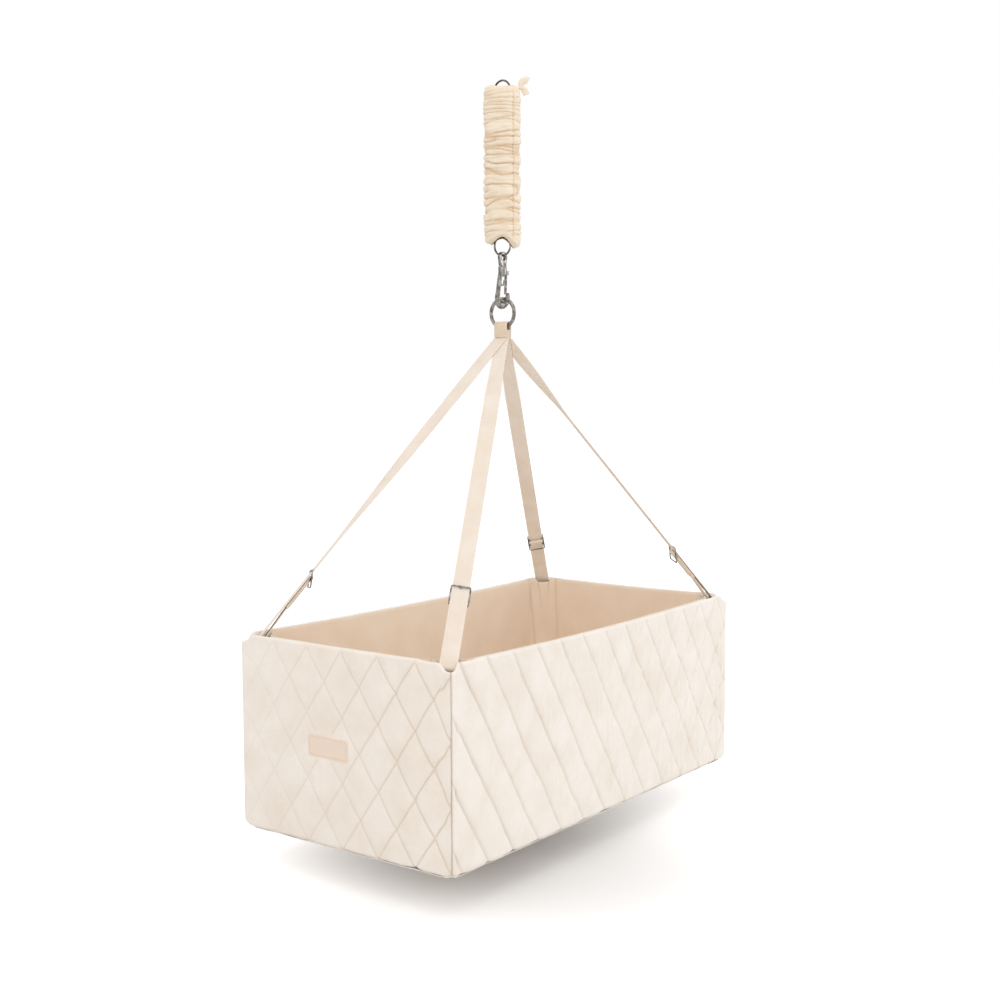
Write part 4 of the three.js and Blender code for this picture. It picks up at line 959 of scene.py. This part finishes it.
def sleevePlace(u, v):
    s = sleeve
    angle = 2 * math.pi * u  # round the sleeve; v is the share up it
    x, y = math.cos(angle), math.sin(angle)
    toTie = math.cos(angle - math.radians(s["tieAngle"]))
    toFront = math.cos(angle - math.radians(s["frontAngle"]))
    low = s["bottomZ"] - s["lobe"] * max(toTie, 0) ** 1.5 + s["arch"] * abs(toFront) ** 3
    high = s["topZ"] - s["frontDip"] * max(toFront, 0) ** 1.5
    z = low + (high - low) * v
    end = min(v, 1 - v) * (high - low)  # mm from the nearer hem
    body = smoothShare(end, *s["hemFade"])
    seamGap = (math.degrees(angle) - s["seamAngle"] + 180) % 360 - 180
    radius = s["neck"] + (s["radius"] - s["neck"]) * body
    # the gathers: round puffs with creases between them that wander, branch and die out
    wander = 3 * rippled(x * 0.9, y * 0.9, z / 34 + 5) + 0.9 * rippled(x * 2.6, y * 2.6, z / 10 + 7)
    crowd = z / s["puff"] + 0.9 * math.sin(z / 40 + 1)
    large = rippled(x * 0.36 + 4.3, y * 0.36 + 1.7, crowd + wander / s["puff"])
    small = rippled(x * 0.9 + 8.2, y * 0.9, crowd * 1.9 + wander / 7)
    large, small = min(1, abs(large) * 3.6), min(1, abs(small) * 4)
    deep = 0.55 + 0.45 * smoothShare(1 - abs((z + 150) / 110), 0, 0.6)  # fullest below the middle
    fold = deep * ((1 - large) ** 1.6 + 0.35 * (1 - small) ** 1.6)
    radius -= s["gather"] * body * deep * ((1 - large ** 0.7) + 0.3 * (1 - small ** 0.7))
    radius += s["unevenness"] * rippled(x * 1.2, y * 1.2, z / 17 + 3) * body
    # the seam's stitches pull in a narrow groove, with short puckers beside it
    groove = math.exp(-(seamGap / s["grooveWidth"]) ** 2) * body
    radius -= s["seamGroove"] * groove
    beside = math.exp(-((seamGap - s["puckerAngle"]) / s["puckerWidth"]) ** 2)
    radius += s["seamPucker"] * beside * rippled(seamGap / 20, 3, z / 3.6) * body
    # pleats run down into the hems, which draw in round the loops
    pleats = math.sin(angle * s["hemPleats"] + 2.5 * rippled(x, y, 20 + round(v) * 5))
    radius += s["hemPleatDepth"] * pleats * (1 - body) * smoothShare(end, 0, 4)
    turnIn = 1 - smoothShare(end, 0, s["hem"])
    radius += (s["mouth"] - radius) * turnIn ** 1.6
    # painted shade: the deep creases of the gathers, the seam's groove and the turned-in hems are tinted warm
    # brown
    foldShadeAt.append(min(1, 0.62 * fold * body + 0.5 * groove + 0.35 * turnIn))
    return Vector((x * radius, y * radius, z)) * mm


sleevePiece = placedGrid("gathered_sleeve", sleeve["around"], sleeve["rows"], sleevePlace, (0.19, 0.42))
markThreadAndShade(sleevePiece, foldShadeAt)
closeShell(sleevePiece, capped=False)
thicken(sleevePiece, sleeve["thickness"])
paint(sleevePiece, cloth["sleeveMuslin"])
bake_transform(sleevePiece)
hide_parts("spring_sleeve")
print("sleeve gathered")


# The spring's coil, fine enough for its turns to look round, and stretched with the sleeve

coil = {"radius": 20.2, "wire": 1.8, "turns": 44, "steps": 18, "sides": 8, "low": -0.2339, "high": -0.0359}


def coilRings():
    rings = []
    steps = coil["turns"] * coil["steps"]
    corners = [2 * math.pi * j / coil["sides"] for j in range(coil["sides"])]
    for i in range(steps + 1):
        angle = 2 * math.pi * i / coil["steps"]
        outward = Vector((math.cos(angle), math.sin(angle), 0))
        z = coil["low"] + (coil["high"] - coil["low"]) * i / steps
        centre = outward * coil["radius"] * mm + up * z
        rings.append([centre + (outward * math.cos(a) + up * math.sin(a)) * coil["wire"] * mm
                      for a in corners])
    return rings


coilPiece = sweptPiece("spring_coil", coilRings(), [mm * j for j in range(coil["sides"])], 7 * mm)
paint(coilPiece, steel)
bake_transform(coilPiece)
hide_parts("extension_spring")


# Fittings: each is the frame's own solid, cleaned, with its edges eased and its bars made round

def easedCopy(node, name, body, bevel=0, levels=2):
    clearSelection()
    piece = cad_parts[node].copy()
    piece.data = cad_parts[node].data.copy()
    piece.parent = None
    piece.name = piece.data.name = name
    for key in list(piece.keys()):
        del piece[key]
    bpy.context.scene.collection.objects.link(piece)
    pick(piece)
    bpy.ops.object.mode_set(mode="EDIT")
    bpy.ops.mesh.select_all(action="SELECT")
    bpy.ops.mesh.remove_doubles(threshold=1e-5)
    bpy.ops.mesh.tris_convert_to_quads(face_threshold=math.radians(50), shape_threshold=math.radians(60))
    bpy.ops.mesh.normals_make_consistent(inside=False)
    bpy.ops.object.mode_set(mode="OBJECT")
    if bevel:
        ease = piece.modifiers.new("ease", "BEVEL")
        ease.width = bevel * mm
        ease.segments = 2
        ease.limit_method = "ANGLE"
        ease.angle_limit = math.radians(40)
    if levels:
        rounder = piece.modifiers.new("rounder", "SUBSURF")
        rounder.levels = rounder.render_levels = levels
    applyAll(piece)
    bpy.ops.object.shade_smooth()
    finishPiece(piece, steel, body, [node])


easedCopy("spring_top_loop", "top_loop_wire", "spring_top")
easedCopy("spring_bottom_loop", "bottom_loop_wire", "spring_end")
easedCopy("load_ring", "hanging_ring", "ring")
for name in corners:
    easedCopy("slider_" + name, "slider_frame_" + name, "slider_" + name, levels=1)
easedCopy("swivel_eye", "swivel_eyelet", "swivel", bevel=0.5, levels=0)
easedCopy("hook_body", "snap_hook", "hook", bevel=0.45, levels=0)
easedCopy("hook_gate", "snap_gate", "gate", bevel=0.3, levels=0)
print("fittings eased")


# The label: a blank leather patch with a stitched edge

label = {
    "corner": 3, "border": 2.2, "edge": 0.35, "edgeRise": 0.15, "groove": 0.35, "grooveHalf": 0.4,
    "stitch": 3.4, "stitchShare": 0.65, "thread": (0.5, 0.6), "stitchInset": 1,
}


def labelPatch():
    low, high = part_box("label_patch")
    size = high - low
    patch = roundedBlock("leather_label", size, 0, label["corner"], 6)
    bpy.ops.object.mode_set(mode="EDIT")
    bpy.ops.mesh.select_mode(type="FACE")
    bpy.ops.object.mode_set(mode="OBJECT")
    for face in patch.data.polygons:
        face.select = face.normal.x < -0.9
    bpy.ops.object.mode_set(mode="EDIT")
    bpy.ops.mesh.inset(thickness=label["edge"] * mm)
    bpy.ops.transform.translate(value=(-label["edgeRise"] * mm, 0, 0))
    bpy.ops.mesh.inset(thickness=(label["border"] - label["edge"]) * mm)
    bpy.ops.mesh.inset(thickness=label["grooveHalf"] * mm)
    bpy.ops.mesh.inset(thickness=label["grooveHalf"] * mm)
    bpy.ops.object.mode_set(mode="OBJECT")
    for vertex in patch.data.vertices:
        # the stitches' groove is the middle one of the last three insets
        fromEdge = min(size.y / 2 - abs(vertex.co.y), size.z / 2 - abs(vertex.co.z)) / mm
        if vertex.co.x < 0 and abs(fromEdge - label["border"] - label["grooveHalf"]) < 0.15:
            vertex.co.x += label["groove"] * mm
        vertex.co += (low + high) / 2
    pick(patch)
    bpy.ops.object.shade_smooth_by_angle(angle=math.radians(40))
    finishPiece(patch, leather, "basket", ["label_patch"])


def labelStitches():
    # short straight stitches in a row just inside the patch's edge, one stitch copied round it
    low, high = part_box("label_patch")
    middle = Vector((low.x, (low.y + high.y) / 2, (low.z + high.z) / 2))
    wide, tall = ((high - low)[axis] / 2 / mm - label["border"] for axis in (1, 2))
    spots = []
    rows = ((wide, tall, False), (wide, -tall, False), (tall, wide, True), (tall, -wide, True))
    for half, off, upright in rows:
        start, row = label["stitchInset"] - half, 2 * (half - label["stitchInset"])
        count = round(row / label["stitch"])
        for i in range(count):
            at = start + (i + 0.5) * row / count
            spots.append((Vector((0, off, at) if upright else (0, at, off)), upright))
    clearSelection()
    bpy.ops.mesh.primitive_cube_add(size=mm, location=(0, 0, 0))
    first = bpy.context.object
    stitches = [first]
    for _ in spots[1:]:
        stitch = first.copy()
        stitch.data = first.data.copy()
        bpy.context.scene.collection.objects.link(stitch)
        stitches.append(stitch)
    deep, thick = label["thread"]
    long = label["stitchShare"] * label["stitch"]
    for stitch, (spot, upright) in zip(stitches, spots):
        size = (deep, thick, long) if upright else (deep, long, thick)
        for vertex in stitch.data.vertices:
            vertex.co = Vector(a * b for a, b in zip(vertex.co, size)) + middle + spot * mm
        stitch.select_set(True)
    bpy.ops.object.join()
    first.name = first.data.name = "label_stitches"
    finishPiece(first, cloth["tabCotton"], "basket")


labelPatch()
labelStitches()


# The tie: a small knotted bow at the sleeve's top hem

tie = {
    "thickness": 0.7, "cup": 0.6, "step": 0.8, "sides": 12, "knotShare": 0.3, "openShare": 0.45,
    "knotOut": 28.6, "knotZ": -10.4, "knotRadii": (3.1, 2.7, 2.6), "knotTwist": 0.16,
    # each tail's width, and its points from the knot: outwards, up and to the side
    "tie_tail_up": (11, ((-0.5, -1, 0), (0.3, 3, 0), (1.6, 7, 0.6), (4.5, 11, 0.6), (9, 13.2, 0),
                         (13, 11, 0))),
    "tie_tail_down": (10, ((-0.5, 0.5, 0), (3, -0.6, 0), (6, -3, -0.6), (8.6, -6.5, -0.6),
                           (10, -10.5, 0))),
}


def tieBow():
    angle = math.radians(sleeve["tieAngle"])
    out = Vector((math.cos(angle), math.sin(angle), 0))
    beside = Vector((-out.y, out.x, 0))
    knot = out * tie["knotOut"] * mm + up * tie["knotZ"] * mm

    def tail(name):
        # a ribbon, gathered at the knot and opening towards its end, a little cupped across
        width, points = tie[name]
        path = [knot + out * (a * mm) + up * (b * mm) + beside * (c * mm) for a, b, c in points]
        stations = []
        for i, centre in enumerate(path):
            way = (path[min(i + 1, len(path) - 1)] - path[max(i - 1, 0)]).normalized()
            across = way.cross(beside + 0.3 * math.sin(i * 1.4) * up).normalized()
            stations.append((centre, across, across.cross(way).normalized()))
        stations = evenStations(stations, tie["step"])
        corners = [2 * math.pi * j / tie["sides"] for j in range(tie["sides"])]
        rings = []
        for k, (centre, across, face) in enumerate(stations):
            opened = smoothShare(k / len(stations), 0, tie["openShare"])
            half = width / 2 * (tie["knotShare"] + (1 - tie["knotShare"]) * opened)
            rings.append([
                centre + across * (half * mm * math.cos(a))
                + face * (tie["thickness"] / 2 * mm * math.sin(a) + tie["cup"] * mm * math.cos(2 * a))
                for a in corners
            ])
        return sweptPiece(name, rings, [half * mm * math.cos(a) for a in corners], tie["step"] * mm)

    tails = [tail("tie_tail_up"), tail("tie_tail_down")]
    clearSelection()
    bpy.ops.mesh.primitive_uv_sphere_add(segments=20, ring_count=12, radius=1)
    bow = bpy.context.object
    alongOut, alongBeside, alongUp = tie["knotRadii"]
    for vertex in bow.data.vertices:
        x, y, z = vertex.co
        swirl = 1 + tie["knotTwist"] * math.sin(math.atan2(y, x) * 3 + z * 3)
        vertex.co = knot + (out * x * alongOut + beside * y * alongBeside + up * z * alongUp) * swirl * mm
    bpy.ops.object.shade_smooth()
    for piece in tails:
        piece.select_set(True)
    bpy.ops.object.join()
    bow.name = bow.data.name = "bow_tie"
    finishPiece(bow, cloth["sleeveMuslin"], "spring_top", ["sleeve_tie"])


tieBow()
print("label and tie made")


# Stage: a pale floor just under the basket, a white background, soft light, the photo's camera

stage = {
    "floorDrop": 0.05, "worldLight": 0.84, "nearGlow": 0, "farGlow": 0.5,
    "paintedShadowCentre": (-0.14, -0.2, 0), "glowReach": (0.06, 0.52),
    "camera": (-1.8532, -1.3819, -0.4612), "azimuth": 36.834, "pitch": 4.959, "roll": -0.152,
    "lens": 51.717,
}

clearSelection()
bpy.ops.mesh.primitive_plane_add(size=60, location=(0, 0, base - stage["floorDrop"]))
floor = bpy.context.object
floor.name = "floor"
floorMaterial, tree, shader = startMaterial("paintedFloor", {"Roughness": 1, "Specular IOR Level": 0})
shader.inputs["Base Color"].default_value = linear("#F3F3F3")
rays = addNode(tree, "ShaderNodeLightPath", {})
# painted light: seen by the camera, the floor glows more the further it lies from a point by the basket's
# front wall, which leaves a painted shadow round the basket over its real shadow
spot = addNode(tree, "ShaderNodeTexCoord", {})
offset = addNode(tree, "ShaderNodeVectorMath", {"operation": "SUBTRACT", 1: stage["paintedShadowCentre"]},
                 {0: spot.outputs["Object"]})
away = addNode(tree, "ShaderNodeVectorMath", {"operation": "LENGTH"}, {0: offset.outputs[0]})
nearest, furthest = stage["glowReach"]
rise = addNode(tree, "ShaderNodeMapRange", {
    "interpolation_type": "SMOOTHSTEP", "From Min": nearest, "From Max": furthest,
    "To Min": stage["nearGlow"], "To Max": stage["farGlow"],
}, {"Value": away.outputs["Value"]})
glow = addNode(tree, "ShaderNodeMath", {"operation": "MULTIPLY"},
               {0: rays.outputs["Is Camera Ray"], 1: rise.outputs["Result"]})
shader.inputs["Emission Color"].default_value = (1, 1, 1, 1)
tree.links.new(glow.outputs[0], shader.inputs["Emission Strength"])
floor.data.materials.append(floorMaterial)

world = bpy.data.worlds.new("studio")
bpy.context.scene.world = world
world.use_nodes = True
tree = world.node_tree
rays = addNode(tree, "ShaderNodeLightPath", {})
seen = addNode(tree, "ShaderNodeMath", {"operation": "ADD", "use_clamp": True},
               {0: rays.outputs["Is Camera Ray"], 1: rays.outputs["Is Glossy Ray"]})
seen = addNode(tree, "ShaderNodeMath", {"operation": "ADD", "use_clamp": True},
               {0: seen.outputs[0], 1: rays.outputs["Is Transmission Ray"]})
level = addNode(tree, "ShaderNodeMapRange", {"To Min": stage["worldLight"], "To Max": 1.0},
                {"Value": seen.outputs[0]})
tree.nodes["Background"].inputs["Color"].default_value = (1, 1, 1, 1)
tree.links.new(level.outputs["Result"], tree.nodes["Background"].inputs["Strength"])

softboxes = {
    # name: place, size, power in watts, colour
    "keyBox": ((2.2, -2.6, -0.3), 1.6, 17, "#EFF5FF"),
    "topBox": ((-0.2, -0.3, 1.8), 2.6, 14, "#FFFFFF"),
    "leftBox": ((-2.6, -1.4, 0.3), 1.8, 8, "#FFE4C8"),
}
for name, (place, size, power, colour) in softboxes.items():
    clearSelection()
    bpy.ops.object.light_add(type="AREA", location=place)
    lamp = bpy.context.object
    lamp.name = name
    lamp.data.size = size
    lamp.data.energy = power
    lamp.data.color = linear(colour)[:3]
    lamp.rotation_euler = (Vector((0, 0, rim)) - Vector(place)).to_track_quat("-Z", "Y").to_euler()

azimuth, pitch, roll = (math.radians(stage[k]) for k in ("azimuth", "pitch", "roll"))
forward = Vector((math.cos(azimuth) * math.cos(pitch), math.sin(azimuth) * math.cos(pitch), -math.sin(pitch)))
right = Vector((math.sin(azimuth), -math.cos(azimuth), 0))
above = right.cross(forward)
cosine, sine = math.cos(roll), math.sin(roll)
right, above = right * cosine + above * sine, above * cosine - right * sine
clearSelection()
bpy.ops.object.camera_add()
camera = bpy.context.object
camera.matrix_world = Matrix((
    (right.x, above.x, -forward.x, stage["camera"][0]),
    (right.y, above.y, -forward.y, stage["camera"][1]),
    (right.z, above.z, -forward.z, stage["camera"][2]),
    (0, 0, 0, 1),
))
camera.data.sensor_width = 36
camera.data.lens = stage["lens"]
bpy.context.scene.camera = camera
bpy.context.scene.view_settings.view_transform = "Standard"

print("stage set")
